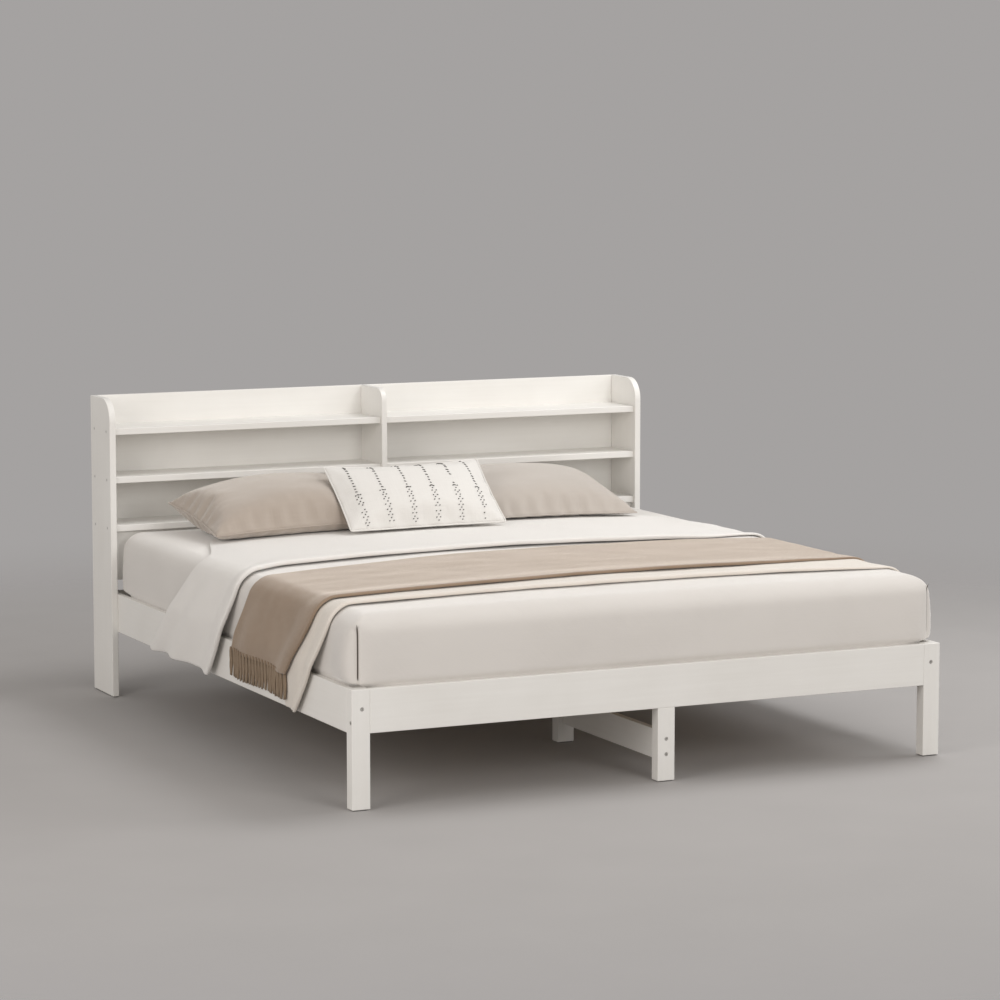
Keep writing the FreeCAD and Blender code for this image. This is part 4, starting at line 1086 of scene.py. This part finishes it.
def pale_floor():
    finish, tree, shader = new_finish("pale_floor", roughness=0.75)
    darker = tuple(SPECKLE_TONE * tone for tone in FLOOR_TONE)
    color = two_tone(tree, mottle(tree, scale=3.0, detail=3.0), darker, FLOOR_TONE)
    feed(tree, shader, Base_Color=color, Specular_IOR_Level=0.2)
    place = node(tree, "TexCoord").outputs["Object"]
    away = node(tree, "VectorMath", {"operation": "LENGTH"}, Vector=place).outputs["Value"]
    fade = node(tree, "MapRange", {"interpolation_type": "SMOOTHSTEP"}, Value=away)
    feed(tree, fade, From_Min=FADE_FROM, From_Max=FADE_TO)
    clear = node(tree, "BsdfTransparent").outputs["BSDF"]
    surface = mixed(tree, fade.outputs["Result"], shader.outputs["BSDF"], clear)
    feed(tree, tree.nodes["Material Output"], Surface=surface)
    return finish


floor_mesh = bpy.data.meshes.new("floor")
corners = [(FLOOR_REACH * x, FLOOR_REACH * y, 0) for x, y in ((-1, -1), (1, -1), (1, 1), (-1, 1))]
floor_mesh.from_pydata(corners, [], [(0, 1, 2, 3)])
floor_mesh.materials.append(pale_floor())
floor = bpy.data.objects.new("floor", floor_mesh)
bpy.context.scene.collection.objects.link(floor)
print("floor fades out from", FADE_FROM, "to", FADE_TO)

# %% Background
FILL_TONE, FILL_STRENGTH = (1.0, 0.965, 0.925, 1), 0.52
BACKDROP_TONE = (0.375, 0.361, 0.356, 1)
world = bpy.data.worlds.new("studio")
bpy.context.scene.world = world
world.use_nodes = True
tree = world.node_tree
tree.nodes.clear()
seen = node(tree, "LightPath").outputs
fill_light = node(tree, "Background", Color=FILL_TONE, Strength=FILL_STRENGTH).outputs["Background"]
behind = node(tree, "Background", Color=BACKDROP_TONE, Strength=1.0).outputs["Background"]
seen_or_mirrored = math_of(tree, "MAXIMUM", seen["Is Camera Ray"], seen["Is Glossy Ray"])
backdrop_ray = math_of(tree, "MAXIMUM", seen_or_mirrored, seen["Is Transmission Ray"])
node(tree, "OutputWorld", Surface=mixed(tree, backdrop_ray, fill_light, behind))
print("background set, fill of", FILL_STRENGTH)


# %% Lamps
def soft_lamp(name, place, target, size, power, color):
    lamp = bpy.data.lights.new(name, "AREA")
    lamp.shape = "DISK"
    lamp.size = size
    lamp.energy = power
    lamp.color = color
    holder = bpy.data.objects.new(name, lamp)
    holder.location = place
    holder.rotation_euler = (Vector(target) - Vector(place)).to_track_quat("-Z", "Y").to_euler()
    bpy.context.scene.collection.objects.link(holder)


WHITE, NEARLY_WHITE, WARM_WHITE = (1, 1, 1), (1, 0.985, 0.965), (1, 0.96, 0.92)
soft_lamp("overhead_lamp", (1.8, -0.1, 4.1), target=(0, 0, 0.4), size=1.8, power=62, color=WHITE)
soft_lamp("right_lamp", (5.2, -1.5, 3.2), target=(0, 0, 0.5), size=2.5, power=64, color=WHITE)
soft_lamp("foot_lamp", (0.7, -7.5, 3.0), target=(0, 0, 0.5), size=3.3, power=123, color=NEARLY_WHITE)
soft_lamp("left_lamp", (-5.5, -3.0, 2.4), target=(0, 0, 0.5), size=3.5, power=100, color=WARM_WHITE)
print("lamps:", len(bpy.data.lights))

# %% Camera
CAMERA_PLACE = (-4.698, -10.015, 2.066)
CAMERA_YAW, CAMERA_PITCH = math.radians(25.18), math.radians(6.89)
SENSOR_WIDTH, FOCAL_SHARE = 36.0, 3.408
camera_data = bpy.data.cameras.new("camera")
camera_data.sensor_width = SENSOR_WIDTH
camera_data.lens = camera_data.sensor_width * FOCAL_SHARE
camera = bpy.data.objects.new("camera", camera_data)
ahead = Vector((
    math.sin(CAMERA_YAW) * math.cos(CAMERA_PITCH),
    math.cos(CAMERA_YAW) * math.cos(CAMERA_PITCH),
    -math.sin(CAMERA_PITCH),
))
camera.location = CAMERA_PLACE
camera.rotation_euler = ahead.to_track_quat("-Z", "Y").to_euler()
bpy.context.scene.collection.objects.link(camera)
bpy.context.scene.camera = camera
bpy.context.scene.view_settings.view_transform = "Standard"
print("camera at", CAMERA_PLACE, "with a lens of", round(camera_data.lens), "mm")
